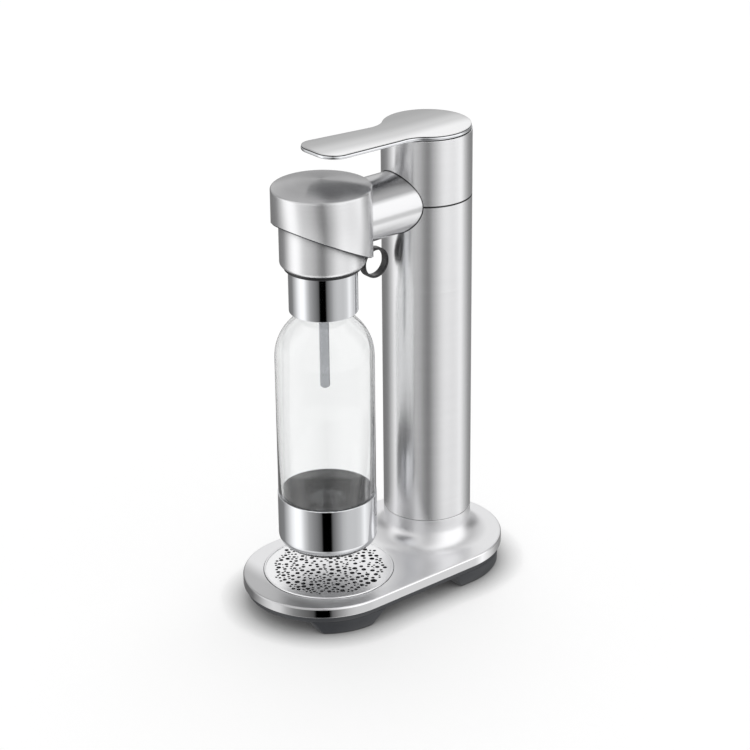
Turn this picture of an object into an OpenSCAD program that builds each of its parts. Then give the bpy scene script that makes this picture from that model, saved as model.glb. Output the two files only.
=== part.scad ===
// Sparkling water maker: a bottle hangs from a round head that a column holds over a drip tray.
// X runs across, Y from the bottle at the front (-Y) to the column (+Y), Z up from the table.
// Lengths are millimetres. The base, the bottle and the column stack up from named heights.

/* [Base] */
// Distance between the centres of the base's two round ends
base_span = 120; // [112:1:128]
// Radius of the base's round ends
base_r = 73.5; // [72:0.5:80]
// Height of the base's top face above the table
base_h = 28; // [26:0.5:34]
// Height of the steel edge that shows round the base
edge_h = 9.5; // [7:0.5:11]
// Thickness of the base's pressed steel
plate_t = 1.5; // [1:0.1:1.6]
// Rounding of the steel's top edge
edge_round = 1.7; // [1.6:0.1:3]
// Clear height under the base between its feet
arch_h = 12.5; // [9:0.5:13]
// Radius of the drip tray's rim
tray_r = 59.3; // [55:0.1:60]
// Across a large hole of the drip grille
grille_hole_d = 4.8; // [4:0.1:5]
// Distance between the holes of the drip grille
grille_pitch = 7.2; // [7:0.1:9]

/* [Column] */
// Distance of the column's axis behind the middle of the base
column_y = 65; // [62:0.5:68]
// Outer radius of the column
column_r = 40.5; // [40:0.1:42]
// Thickness of the column's steel
column_wall = 1.2; // [1:0.1:1.3]
// Height of the flared neck above the base's top face
neck_rise = 27.4; // [24:0.1:34]
// Radius of the flare between the base and the column
flare_r = 17; // [12:0.5:17.5]
// Height of the column above the arm's axis
column_rise = 60; // [59:0.5:66]

/* [Head and arm] */
// Distance of the bottle's axis in front of the middle of the base
head_y = 54; // [52:0.5:58]
// Outer radius of the head
head_r = 43.9; // [43:0.1:46]
// Thickness of the head's steel
head_wall = 1.2; // [1:0.1:1.4]
// Height of the head's rim above the arm's axis
head_rise = 33; // [32.5:0.1:35]
// Height of the dome above the head's rim
dome_h = 7; // [6:0.5:10]
// Slope of the head's lower edge, in degrees
slant = 25.8; // [22:0.1:27]
// Drop of the slanted edge below the arm's axis, at the bottle's axis
slant_drop = 15.5; // [13:0.1:17]
// Outer radius of the arm
arm_r = 28; // [27:0.1:29]
// Thickness of the arm's steel
arm_wall = 1.5; // [1:0.1:2]

/* [Cap] */
// Clear space between the cap and the lining of the head
cap_gap = 3.2; // [3.1:0.1:4]
// Height of the cap's steel shell
cap_h = 45.9; // [44:0.1:50]
// Rounding of the shell's lower edge
cap_round = 3.5; // [2:0.1:4]
// Thickness of the cap's steel
cap_wall = 1.2; // [1:0.1:1.5]
// Height of the dark ring under the shell
cap_ring_h = 3.3; // [2:0.1:4]
// Step in from the dark ring to the chrome collar
collar_step = 3.7; // [3:0.1:4.5]
// Drop of the chrome collar below the shell
collar_drop = 43; // [38:0.5:44]
// Outer radius of the gas tube in the bottle
dip_r = 4.4; // [3.5:0.1:5]
// Length of the gas tube below the collar
dip_drop = 73.5; // [60:0.5:90]
// Outer radius of the pressure release ring
loop_r = 14; // [12:0.5:15]
// Width of the release ring's band
loop_w = 8; // [5:0.5:10]
// Thickness of the release ring's band
loop_t = 2.2; // [1.8:0.1:3]

/* [Bottle] */
// Height of the bottle with its cup, to the top of the neck
bottle_h = 260.5; // [240:0.5:275]
// Outer radius of the bottle
bottle_r = 44.1; // [42:0.1:45]
// Wall of the bottle
bottle_wall = 1.8; // [1.2:0.1:2.5]
// Outer radius of the bottle's neck
neck_r = 19; // [17:0.1:21]
// Radius of the bottle's shoulder in side view
shoulder_r = 45; // [40:0.5:48]
// Height of the steel cup round the bottle's foot
cup_h = 49.5; // [40:0.5:60]
// Thickness of the steel cup
cup_t = 1; // [0.8:0.1:1.4]
// Rounding of the cup's lower edge
cup_round = 10; // [6:0.5:12]
// Clear height between the base's top face and the cup
bottle_gap = 29.5; // [28:0.5:36]

/* [Lever] */
// Radius of the lever's round pad over the column
pad_r = 39.6; // [38:0.1:40]
// Half the width of the lever at its neck
lever_neck_w = 22.4; // [20:0.1:24]
// Half the width of the lever near its front end
lever_end_w = 25.4; // [23:0.1:28]
// Reach of the lever in front of the column's axis
lever_reach = 129; // [120:1:132]
// Radius of the lever's front corners in plan
lever_corner_r = 17; // [12:0.5:20]
// Radius of the hollow sides where the pad meets the handle
lever_throat_r = 25; // [20:0.5:30]
// Rise of the handle towards its end, in degrees
handle_tilt = 2; // [0:0.1:3]
// Thickness of the lever's polished lower part
lever_base_t = 2.9; // [2.5:0.1:3.5]
// Thickness of the dark line between the lever's two parts
inlay_t = 0.5; // [0.4:0.1:0.8]
// Thickness of the lever's brushed top
lever_top_t = 1.2; // [1:0.1:1.6]
// How far the lever presses down, in degrees
press_angle = 9; // [6:0.5:9]

/* [Hidden] */
$fn = 96;

// Clearances: free space, a running fit, a seated face and the overrun of a cut
gap = 0.3;
fit = 0.05;
seat = 0.1;
over = 1;

// Base heights and outlines
end_y = base_span / 2;
skirt_z = base_h - edge_h;
under_r = base_r - plate_t - gap;
under_top = base_h - plate_t - gap;
under_draft = 1.3;
deck_z = skirt_z + 2;
foot_z = 0.8;
foot_in = base_r - 31.5;
foot_nose = base_r - 28.9;
foot_nose_slope = 8;
front_foot_heel = 1;
front_foot_slope = 19;
rear_foot_heel = -14;
rear_foot_slope = 7;
pad_disc_r = 9;
pad_disc_h = 2.6;
pad_disc_x = base_r - 20;
pad_disc_y = 26.5;
boss_side_x = under_r - 5.7;
boss_side_y = 6;
boss_end_x = 28;
boss_end_y = end_y + under_r - 11.7;
boss_spots = [[boss_side_x, boss_side_y], [boss_end_x, boss_end_y], [boss_end_x, -boss_end_y]];
screw_r = 1.5;
screw_head_r = 2.9;
screw_head_h = 1.8;
boss_r = 3.2;

// Drip tray
tray_y = -head_y;
tray_hole_r = tray_r + gap;
flange_t = 0.8;
cup_side = 1.5;
drip_cup_r = tray_r - 1.8;
well_r = drip_cup_r + gap;
well_wall = 2.2;
well_floor_z = arch_h + 2.2;
well_flange_r = well_r + well_wall + 3;
well_flange_t = 1.5;
drip_cup_z = well_floor_z + 0.5;
flange_z = under_top + seat;
grille_z = flange_z + flange_t + seat;
grille_t = 1;
bead_r = 0.9;
grille_tab_r = drip_cup_r - cup_side - gap;
grille_tab_t = 1.2;
grille_tab_h = 5;
grille_tab_turn = 14;
grille_tab_angles = [0, 60, 120, 180, 240, 300];
grille_field_r = grille_tab_r - 3.6;
hole_share = 0.62;
jitter_share = 0.09;
row_share = sqrt(3) / 2;

// Column, its seams and the frame inside it
column_in = column_r - column_wall;
neck_top = base_h + neck_rise;
flare_foot_r = column_r + flare_r;
spacer_t = 0.5;
spacer_inset = 0.5;
frame_r = column_in - 0.5;
frame_ring_w = 4.6;
frame_ring_rise = 9;
frame_foot_z = deck_z + seat;
rod_r = 2.5;
rod_circle = column_in - 4;
rod_angles = [35, 145, 215, 325];
top_plate_t = 3;
yoke_t = 4;
yoke_w = 24;
yoke_drop = 19;
frame_screw_angles = [0, 90, 180, 270];

// Bottle and cap stack up from the tray
cup_z = base_h + bottle_gap;
cup_r = bottle_r + 0.6;
neck_z = cup_z + bottle_h;
cap_z = neck_z + 8;
cap_top = cap_z + cap_h;
pivot_z = cap_top + 8.1;
arm_z = pivot_z - 17;
column_top = arm_z + column_rise;
seam_gap = 0.6;
seam_sleeve_h = 28;
seam_sleeve_t = 1.1;

// Head
rim_z = arm_z + head_rise;
rim_round = 2;
dome_r = (head_r * head_r + dome_h * dome_h) / (2 * dome_h);
dome_z = rim_z + dome_h - dome_r;
corner_x = head_r - rim_round;
corner_z = dome_z + sqrt(pow(dome_r - rim_round, 2) - pow(corner_x, 2));
slant_z = arm_z - slant_drop;
liner_out = head_r - head_wall - gap;
liner_wall = 1.6;
liner_in = liner_out - liner_wall;
liner_show = 1;
ceiling_t = 1.6;
ceiling_z = rim_z - 3.6;
trunnion_r = 3;
trunnion_boss_r = 5.8;
trunnion_boss_h = 4.5;
cradle_r = liner_in - 6.8;
cradle_top = pivot_z + 5;
cradle_z = cap_top + 0.7;
stem_r = 9;
nozzle_r = 5;
nozzle_z = cradle_top + 2.2;
dock_seal_r = 6;
dock_seal_t = 1;
gas_hole_r = 1.5;

// Arm
core_r = 13.5;
core_wall = 3;
core_flange_r = 19.5;
core_flange_t = 2.4;
arm_end = column_y - 27;
pipe_r = 1.6;
pipe_clear = 0.4;
pipe_z = arm_z + core_flange_r + pipe_r + pipe_clear;
pipe_up_z = ceiling_z - pipe_r - 1;
pipe_bend_y = -head_y + liner_in - 3.3;
arm_hole_gap = 0.7;
arm_screw_circle = 16.6;

// Cap
cap_r = liner_in - cap_gap;
ring_r = cap_r - cap_round - seat;
collar_r = ring_r - collar_step + seat;
collar_wall = 1.1;
collar_z = cap_z - collar_drop;
collar_tuck = 4;
hub_r = collar_r - collar_wall - seat;
hub_rise = 26;
neck_bore_r = neck_r + gap + fit;
cap_seal_t = 1.7;
dip_bore_r = 1.5;
dip_tuck = 12;
dip_z = collar_z - dip_drop;
loop_z = neck_z - 5.5;
loop_y = -head_y + collar_r + 27.1;
loop_pull = 4;
pull_rod_r = 1.9;
pull_head_r = 2.9;
pull_head_t = 1;
bush_r = 4;
bush_depth = 9.2;
bush_y = -head_y + collar_r - bush_depth;
bush_lip = 0.8;
bush_end_t = 2;

// Bottle
bottle_low_r = cup_r - cup_t - seat;
bottle_foot_z = cup_z + cup_t + seat;
bottle_foot_round = cup_round - cup_t - seat;
cup_rim_z = cup_z + cup_h;
neck_wall = 2.2;
shoulder_x = bottle_r - shoulder_r;
shoulder_top = neck_z - 35.3;
shoulder_z = shoulder_top + neck_r - shoulder_x - shoulder_r * sqrt(2);
dent_r = 60;
dent_h = 9;

// Lever and what it drives
lever_z = column_top + gap;
lever_neck_y = column_y - sqrt(pow(pad_r + lever_throat_r, 2) - pow(lever_neck_w + lever_throat_r, 2));
throat_share = pad_r / (pad_r + lever_throat_r);
throat_x = (lever_neck_w + lever_throat_r) * throat_share;
throat_y = column_y - (column_y - lever_neck_y) * throat_share;
lever_tip_y = column_y - lever_reach;
lever_bend_y = lever_neck_y - over;
inlay_inset = 0.6;
top_inset = 0.4;
hinge_y = column_y - 29;
hinge_z = lever_z - 6.3;
hinge_r = 2.5;
lug_x = 9.8;
lug_t = 3.4;
lug_eye_r = 5;
lift_y = hinge_y + 14;
lift_z = hinge_z - 8;
lift_r = 2;
lift_eye_r = 4;
ear_x = lug_x + lug_t + gap;
ear_t = 3;
ear_r = 4.4;
bracket_t = 2;
rocker_y = column_y - 7.5;
rocker_z = hinge_z - 7;
rocker_pin_r = 1.5;
rocker_w = 8;
rocker_hub_r = 4;
tongue_z = lift_z + lift_r + 0.15;
tongue_t = 3.8;
tongue_len = 11;
nose_r = 2;
nose_z = rocker_z - 1.5;
plunger_top = nose_z - nose_r - seat;
plunger_head_r = 5;
plunger_head_t = 4.4;
plunger_r = 2;
top_plate_z = arm_z + arm_r + 1;
bracket_z = top_plate_z + top_plate_t;
bracket_front = column_y - 33.5;
bracket_back = column_y + 3;
spring_wall = 1.7;

// Gas cylinder and its valve
block_r = 20;
block_h = 24.4;
block_z = top_plate_z - seat - block_h;
thread_r = 10.3;
thread_h = 10.5;
valve_top = block_z + thread_h;
valve_skirt = 12;
valve_flange_r = 13.5;
valve_flange_h = 10;
valve_flange_z = valve_top - valve_skirt - valve_flange_h;
pin_r = 1.2;
pin_h = 13.5;
pin_show = 3.2;
seal_t = 1.7;
seal_r = 8;
cylinder_r = 30;
cylinder_wall = 3;
cylinder_foot_round = 8;
cylinder_neck_r = 14;
cylinder_neck_h = 12;
hatch_t = 2.4;
hatch_r = cylinder_r + 1.2;
hatch_rib_r = 20;
hatch_rib_h = 1.6;
hatch_grip_w = 3;
hatch_z = arch_h + hatch_grip_w + gap;
hatch_pad_t = 1.6;
passage_r = hatch_r + gap;
cylinder_z = hatch_z + hatch_t + hatch_pad_t + hatch_rib_h + gap;
cylinder_top = valve_flange_z - seat;
cylinder_shoulder_z = cylinder_top - cylinder_neck_h
    - sqrt(pow(cylinder_r, 2) - pow(cylinder_neck_r, 2));
relief_r = 4.5;
relief_len = 8;

// Round bars and tubes along one axis, between two places on it
module bar_z(r, z0, z1) translate([0, 0, z0]) cylinder(r = r, h = z1 - z0);

module bar_y(r, y0, y1, z) translate([0, y1, z]) rotate([90, 0, 0]) cylinder(r = r, h = y1 - y0);

module bar_x(r, x0, x1, y, z) translate([x0, y, z]) rotate([0, 90, 0]) cylinder(r = r, h = x1 - x0);

module tube_z(outer, inner, z0, z1) {
    difference() {
        bar_z(outer, z0, z1);
        bar_z(inner, z0 - over, z1 + over);
    }
}

// An outline in Y and Z, drawn out along X
module across(x0, x1) {
    rotate([90, 0, 90]) translate([0, 0, x0]) linear_extrude(height = x1 - x0) children();
}

// Places on both sides of the middle plane
module both_sides() {
    children();
    mirror([1, 0, 0]) children();
}

// A section swept round the base: half a turn at each end and the straight between them
module racetrack() {
    for (turn = [0, 180])
        rotate([0, 0, turn]) translate([0, end_y, 0]) rotate_extrude(angle = 180) children();
    rotate([90, 0, 0]) linear_extrude(height = base_span, center = true) {
        children();
        mirror([1, 0, 0]) children();
    }
}

// Half sections with one rounded corner, above or below
module round_top(r, z0, z1, round_r) {
    translate([0, z0]) square([r - round_r, z1 - z0]);
    translate([0, z0]) square([r, z1 - round_r - z0]);
    translate([r - round_r, z1 - round_r]) circle(round_r);
}

module round_foot(r, z0, z1, round_r) {
    translate([0, z0]) square([r - round_r, z1 - z0]);
    translate([0, z0 + round_r]) square([r, z1 - z0 - round_r]);
    translate([r - round_r, z0 + round_r]) circle(round_r);
}

// Base: pressed steel top with the column's flared neck, the plastic deck under it and its feet
module flare_section() {
    intersection() {
        translate([flare_foot_r, base_h + flare_r]) difference() {
            circle(flare_r + plate_t);
            circle(flare_r);
        }
        translate([0, base_h - plate_t]) square([flare_foot_r, flare_r + plate_t]);
    }
    translate([flare_foot_r, base_h - plate_t]) square([over, plate_t]);
    translate([column_r - plate_t, base_h + flare_r]) square([plate_t, neck_rise - flare_r]);
}

module at_bosses() {
    for (spot = boss_spots) both_sides() translate([spot[0], spot[1], 0]) children();
}

module base_plate() color("silver") {
    difference() {
        racetrack() round_top(base_r, skirt_z, base_h, edge_round);
        racetrack() translate([0, skirt_z - over]) square([base_r - plate_t, edge_h - plate_t + over]);
        translate([0, tray_y, 0]) bar_z(tray_hole_r, skirt_z, base_h + over);
        translate([0, column_y, 0]) bar_z(flare_foot_r, skirt_z, base_h + over);
    }
    translate([0, column_y, 0]) rotate_extrude() flare_section();
    at_bosses() tube_z(boss_r, screw_r + fit, deck_z + seat, base_h - plate_t);
}

module foot(nose_y, heel_y, nose_slope, heel_slope) {
    across(foot_in, base_r) polygon([
        [nose_y, foot_z], [heel_y, foot_z],
        [heel_y + heel_slope, arch_h + over], [nose_y - nose_slope, arch_h + over]
    ]);
}

module at_pads() {
    for (side = [-1, 1])
        both_sides() translate([pad_disc_x, side * (end_y + pad_disc_y), 0]) children();
}

module base_feet() color("dimgray") {
    difference() {
        intersection() {
            racetrack() translate([0, foot_z]) square([under_r - under_draft, arch_h - seat - foot_z]);
            both_sides() {
                foot(-end_y - foot_nose, -end_y - front_foot_heel, foot_nose_slope, front_foot_slope);
                mirror([0, 1, 0])
                    foot(-end_y - foot_nose, -end_y - rear_foot_heel, foot_nose_slope, rear_foot_slope);
            }
        }
        at_pads() bar_z(pad_disc_r + gap, 0, pad_disc_h);
    }
}

module base_underside() color("dimgray") {
    difference() {
        racetrack() polygon([
            [0, arch_h], [under_r - under_draft, arch_h],
            [under_r, skirt_z], [under_r, deck_z], [0, deck_z]
        ]);
        translate([0, tray_y, 0]) bar_z(well_r + well_wall + gap, arch_h - over, deck_z + over);
        translate([0, column_y, 0]) bar_z(passage_r, arch_h - over, deck_z + over);
        at_bosses() bar_z(screw_r + fit, arch_h - over, deck_z + over);
        at_bosses() bar_z(screw_head_r + gap, arch_h - over, arch_h + screw_head_h);
        at_frame_screws() bar_z(screw_r + fit, arch_h - over, deck_z + over);
        at_frame_screws() bar_z(screw_head_r + gap, arch_h - over, arch_h + screw_head_h);
    }
}

module foot_pads() color("black") {
    at_pads() bar_z(pad_disc_r, 0, pad_disc_h);
}

module base_screws() color("gray") {
    at_bosses() bar_z(screw_head_r, arch_h + seat, arch_h + screw_head_h);
    at_bosses() bar_z(screw_r, arch_h + screw_head_h, base_h - plate_t - gap);
}

// Drip tray: the well in the base, a shallow cup in it and a perforated steel grille on top
module drip_well() color("dimgray") translate([0, tray_y, 0]) {
    difference() {
        union() {
            bar_z(well_r + well_wall, arch_h, under_top);
            bar_z(well_flange_r, deck_z + seat, deck_z + well_flange_t);
        }
        bar_z(well_r, well_floor_z, under_top + over);
    }
}

module drip_cup() color("dimgray") translate([0, tray_y, 0]) {
    difference() {
        union() {
            bar_z(drip_cup_r, drip_cup_z, flange_z + flange_t);
            bar_z(tray_r, flange_z, flange_z + flange_t);
        }
        bar_z(drip_cup_r - cup_side, drip_cup_z + cup_side, grille_z);
    }
}

// A fixed scatter of values from 0 to 1
function scatter(n) = let (wave = sin(n * 1237.3) * 437.58) wave - floor(wave);

module grille_holes() {
    rows = ceil(grille_field_r / grille_pitch / row_share);
    for (row = [-rows : rows], column = [-rows : rows]) {
        seed = (row + rows) * 57 + column + rows;
        shift = grille_pitch * jitter_share;
        x = grille_pitch * (column + (row % 2) / 2) + shift * (2 * scatter(seed) - 1);
        y = grille_pitch * row_share * row + shift * (2 * scatter(seed + 0.37) - 1);
        hole_r = grille_hole_d / 2 * (hole_share + (1 - hole_share) * scatter(seed + 0.71));
        if (norm([x, y]) + hole_r < grille_field_r) translate([x, y]) circle(hole_r, $fn = 24);
    }
}

module drip_grille() color("whitesmoke") translate([0, tray_y, 0]) {
    translate([0, 0, grille_z]) linear_extrude(height = grille_t) difference() {
        circle(tray_r - bead_r);
        grille_holes();
    }
    translate([0, 0, grille_z + bead_r])
        rotate_extrude() translate([tray_r - bead_r, 0]) circle(bead_r, $fn = 32);
}

module grille_tabs() color("whitesmoke") translate([0, tray_y, grille_z - grille_tab_h]) {
    for (a = grille_tab_angles)
        rotate([0, 0, a - grille_tab_turn / 2]) rotate_extrude(angle = grille_tab_turn)
            translate([grille_tab_r - grille_tab_t, 0]) square([grille_tab_t, grille_tab_h - seat]);
}

// Lid under the base through which the gas cylinder goes in, with a grip across it
module cylinder_hatch() color("dimgray") translate([0, column_y, 0]) {
    bar_z(hatch_r, hatch_z, hatch_z + hatch_t);
    tube_z(hatch_rib_r, hatch_rib_r - hatch_t,
        hatch_z + hatch_t - over, hatch_z + hatch_t + hatch_rib_h);
    translate([-hatch_rib_r, -hatch_grip_w / 2, hatch_z - hatch_grip_w])
        cube([hatch_rib_r * 2, hatch_grip_w, hatch_grip_w + hatch_t]);
}

module hatch_pad() color("black") translate([0, column_y, 0]) {
    bar_z(hatch_rib_r - hatch_t - gap, hatch_z + hatch_t, cylinder_z - gap);
}

// Frame inside the column: ring, four rods, top plate and the yoke that holds the arm
module at_frame_screws() {
    for (a = frame_screw_angles)
        translate([0, column_y, 0]) rotate([0, 0, a])
            translate([frame_r - frame_ring_w / 2, 0, 0]) children();
}

module inner_frame() color("lightslategray") {
    difference() {
        union() {
            translate([0, column_y, 0]) {
                tube_z(frame_r, frame_r - frame_ring_w, frame_foot_z, neck_top + frame_ring_rise);
                bar_z(frame_r, top_plate_z, bracket_z);
                for (a = rod_angles)
                    rotate([0, 0, a]) translate([rod_circle, 0, 0])
                        bar_z(rod_r, frame_foot_z + over, bracket_z - top_plate_t / 2);
            }
            translate([-yoke_w, arm_end + seat, arm_z - yoke_drop])
                cube([yoke_w * 2, yoke_t, top_plate_z - arm_z + yoke_drop + top_plate_t / 2]);
        }
        translate([0, column_y, 0]) bar_z(plunger_r + fit, top_plate_z - over, bracket_z + over);
        bar_y(pipe_r + fit, arm_end, column_y, pipe_z);
        at_arm_screws() bar_y(screw_r + fit, arm_end - over, arm_end + yoke_t + over, arm_z);
        at_frame_screws() bar_z(screw_r + fit, frame_foot_z - over, base_h);
    }
}

module frame_screws() color("gray") {
    at_frame_screws() bar_z(screw_head_r, arch_h + seat, arch_h + screw_head_h);
    at_frame_screws() bar_z(screw_r, arch_h + screw_head_h, base_h - seat);
}

// Column: lower tube, upper tube and the dark rings that show in the two seams
module arm_notch(r) {
    bar_y(r, column_y - column_r - over, column_y - rod_r, arm_z);
}

module base_seam_ring() color("black") translate([0, column_y, 0]) {
    tube_z(column_r - spacer_inset, frame_r + seat, neck_top, neck_top + spacer_t);
}

module column_tube() color("silver") {
    difference() {
        translate([0, column_y, 0])
            tube_z(column_r, column_in, neck_top + spacer_t, arm_z - seam_gap / 2);
        arm_notch(arm_r + arm_hole_gap);
    }
}

module column_head() color("silver") {
    difference() {
        translate([0, column_y, 0]) tube_z(column_r, column_in, arm_z + seam_gap / 2, column_top);
        arm_notch(arm_r + arm_hole_gap);
        lever_sweep();
    }
}

module seam_ring() color("black") {
    difference() {
        translate([0, column_y, 0]) {
            tube_z(column_in - seat * 2, column_in - seat * 2 - seam_sleeve_t,
                arm_z - seam_sleeve_h / 2, arm_z + seam_sleeve_h / 2);
            tube_z(column_r - spacer_inset, column_in - seam_sleeve_t,
                arm_z - seam_gap / 2 + fit, arm_z + seam_gap / 2 - fit);
        }
        arm_notch(arm_r + arm_hole_gap + seat);
    }
}

// Gas cylinder: body, brass valve with its pin, and the block that it screws into
module cylinder_section(inset) {
    foot_round = cylinder_foot_round - inset;
    round_foot(cylinder_r - inset, cylinder_z + inset, cylinder_shoulder_z, foot_round);
    intersection() {
        translate([0, cylinder_shoulder_z]) circle(cylinder_r - inset);
        translate([0, cylinder_shoulder_z]) square(cylinder_r);
    }
}

module cylinder_body() color("gainsboro") translate([0, column_y, 0]) {
    rotate_extrude() difference() {
        union() {
            cylinder_section(0);
            translate([0, cylinder_shoulder_z])
                square([cylinder_neck_r, cylinder_top - cylinder_shoulder_z]);
        }
        cylinder_section(cylinder_wall);
    }
}

module cylinder_valve() color("goldenrod") translate([0, column_y, 0]) {
    difference() {
        union() {
            bar_z(valve_flange_r, valve_flange_z, valve_flange_z + valve_flange_h);
            bar_z(thread_r, valve_flange_z, valve_top);
        }
        bar_z(pin_r + fit, valve_flange_z - over, valve_top + over);
    }
}

module valve_pin() color("gray") translate([0, column_y, 0]) {
    bar_z(pin_r, valve_top + pin_show - pin_h, valve_top + pin_show);
}

module cylinder_seal() color("black") translate([0, column_y, 0]) {
    tube_z(seal_r, pin_r * 2, valve_top + gap, valve_top + gap + seal_t);
}

module valve_block() color("darkgray") {
    difference() {
        translate([0, column_y, 0]) bar_z(block_r, block_z, block_z + block_h);
        translate([0, column_y, 0]) {
            bar_z(thread_r + gap, block_z - over, valve_top + gap);
            bar_z(seal_r + fit, block_z, valve_top + gap + seal_t);
            bar_z(plunger_r + fit, block_z, block_z + block_h + over);
        }
        bar_y(pipe_r + fit, column_y - block_r - over, column_y, pipe_z);
        bar_y(relief_r - over, column_y, column_y + block_r + over, pipe_z);
    }
}

module safety_valve() color("goldenrod") {
    bar_y(relief_r, column_y + block_r, column_y + block_r + relief_len, pipe_z);
    bar_y(relief_r - over - fit, column_y + plunger_r * 2, column_y + block_r + over, pipe_z);
}

// Plunger over the valve pin, its spring, and the rocker that pushes it
module plunger() color("gray") translate([0, column_y, 0]) {
    bar_z(plunger_r, valve_top + pin_show + seat, plunger_top);
    bar_z(plunger_head_r, plunger_top - plunger_head_t, plunger_top);
}

module plunger_spring() color("gray") translate([0, column_y, 0]) {
    tube_z(plunger_r + gap * 2 + spring_wall, plunger_r + gap * 2,
        bracket_z + seat, plunger_top - plunger_head_t - seat);
}

module rocker_arm() color("darkgray") {
    difference() {
        union() {
            bar_x(rocker_hub_r, -rocker_w, rocker_w, rocker_y, rocker_z);
            bar_x(nose_r, -rocker_w, rocker_w, column_y, nose_z);
            across(-rocker_w, rocker_w) polygon([
                [rocker_y - tongue_len, tongue_z], [rocker_y, tongue_z],
                [rocker_y, tongue_z + tongue_t], [rocker_y - tongue_len, tongue_z + tongue_t]
            ]);
            across(-rocker_w, rocker_w) polygon([
                [rocker_y, rocker_z - nose_r], [column_y, nose_z - nose_r],
                [column_y, nose_z + nose_r], [rocker_y, tongue_z + tongue_t]
            ]);
        }
        bar_x(rocker_pin_r + fit, -rocker_w - over, rocker_w + over, rocker_y, rocker_z);
    }
}

module rocker_pin() color("gray") {
    bar_x(rocker_pin_r, -ear_x - ear_t, ear_x + ear_t, rocker_y, rocker_z);
}

// Bracket that holds the lever's hinge and the rocker
module lever_bracket() color("lightslategray") {
    difference() {
        union() {
            translate([-ear_x - ear_t, bracket_front, bracket_z])
                cube([(ear_x + ear_t) * 2, bracket_back - bracket_front, bracket_t]);
            both_sides() {
                bar_x(ear_r, ear_x, ear_x + ear_t, hinge_y, hinge_z);
                bar_x(ear_r, ear_x, ear_x + ear_t, rocker_y, rocker_z);
                across(ear_x, ear_x + ear_t) polygon([
                    [hinge_y - ear_r, bracket_z], [rocker_y + ear_r, bracket_z],
                    [rocker_y + ear_r, rocker_z], [rocker_y, rocker_z + ear_r],
                    [hinge_y, hinge_z + ear_r], [hinge_y - ear_r, hinge_z]
                ]);
            }
        }
        bar_x(hinge_r, -ear_x - ear_t - over, ear_x + ear_t + over, hinge_y, hinge_z);
        bar_x(rocker_pin_r, -ear_x - ear_t - over, ear_x + ear_t + over, rocker_y, rocker_z);
        translate([0, column_y, 0])
            bar_z(plunger_head_r + gap, bracket_z - over, bracket_z + bracket_t + over);
    }
}

module lever_hinge_pin() color("gray") {
    bar_x(hinge_r, -ear_x - ear_t, ear_x + ear_t, hinge_y, hinge_z);
}

module lever_lift_pin() color("gray") {
    bar_x(lift_r, -lug_x - lug_t, lug_x + lug_t, lift_y, lift_z);
}

module lever_spring() color("gray") {
    difference() {
        bar_x(hinge_r + spring_wall, -lug_x + gap, lug_x - gap, hinge_y, hinge_z);
        bar_x(hinge_r + fit, -lug_x, lug_x, hinge_y, hinge_z);
    }
}

// Lever: plan outline of the pad and throat, and of the handle in front of them
module pad_outline(inset) {
    translate([0, column_y]) circle(pad_r - inset);
    difference() {
        translate([-throat_x, lever_neck_y]) square([throat_x * 2, throat_y - lever_neck_y]);
        for (side = [-1, 1])
            translate([side * (lever_neck_w + lever_throat_r), lever_neck_y])
                circle(lever_throat_r + inset);
    }
}

module handle_outline(inset) {
    corner_y = lever_tip_y + lever_corner_r;
    flat_w = lever_end_w - lever_corner_r;
    polygon([
        [lever_neck_w - inset, lever_neck_y], [lever_end_w - inset, corner_y],
        [flat_w, lever_tip_y + inset], [-flat_w, lever_tip_y + inset],
        [inset - lever_end_w, corner_y], [inset - lever_neck_w, lever_neck_y]
    ]);
    for (side = [-1, 1]) translate([side * flat_w, corner_y]) circle(lever_corner_r - inset);
}

module lever_layer(z0, thickness, inset) {
    strip_back = column_y + pad_r + over;
    strip_front = lever_tip_y - over;
    rise = (lever_bend_y - strip_front) * tan(handle_tilt);
    intersection() {
        translate([0, 0, z0 - over]) {
            linear_extrude(height = rise + thickness + over * 2) pad_outline(inset);
            linear_extrude(height = rise + thickness + over * 2) handle_outline(inset);
        }
        across(-pad_r - over, pad_r + over) polygon([
            [strip_back, z0], [lever_bend_y, z0],
            [strip_front, z0 + rise], [strip_front, z0 + rise + thickness],
            [lever_bend_y, z0 + thickness], [strip_back, z0 + thickness]
        ]);
    }
}

module lever_lug() {
    across(lug_x, lug_x + lug_t) polygon([
        [hinge_y - lug_eye_r, hinge_z], [lift_y, lift_z - lift_eye_r], [lift_y + lift_eye_r, lift_z],
        [lift_y + lift_eye_r, lever_z + over], [hinge_y - lug_eye_r, lever_z + over]
    ]);
    bar_x(lug_eye_r, lug_x, lug_x + lug_t, hinge_y, hinge_z);
    bar_x(lift_eye_r, lug_x, lug_x + lug_t, lift_y, lift_z);
}

module lever_base() color("gainsboro") {
    difference() {
        union() {
            lever_layer(lever_z, lever_base_t, 0);
            both_sides() lever_lug();
        }
        bar_x(hinge_r + fit, -lug_x - lug_t - over, lug_x + lug_t + over, hinge_y, hinge_z);
        bar_x(lift_r, -lug_x - lug_t - over, lug_x + lug_t + over, lift_y, lift_z);
    }
}

module lever_inlay() color("black") {
    lever_layer(lever_z + lever_base_t, inlay_t, inlay_inset);
}

module lever_plate() color("silver") {
    lever_layer(lever_z + lever_base_t + inlay_t, lever_top_t, top_inset);
}

// Space that the lever's underside sweeps in front of its hinge, taken off the column's rim
module lever_sweep() {
    translate([-column_r, hinge_y, hinge_z]) rotate([press_angle, 0, 0])
        translate([0, -column_r, lever_z - hinge_z - gap]) cube(column_r * 2);
}

// Arm between the column and the head, with its core and the gas pipe inside
module head_space(r) {
    translate([0, -head_y, 0]) bar_z(r, arm_z - arm_r - over, arm_z + arm_r + over);
}

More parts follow.
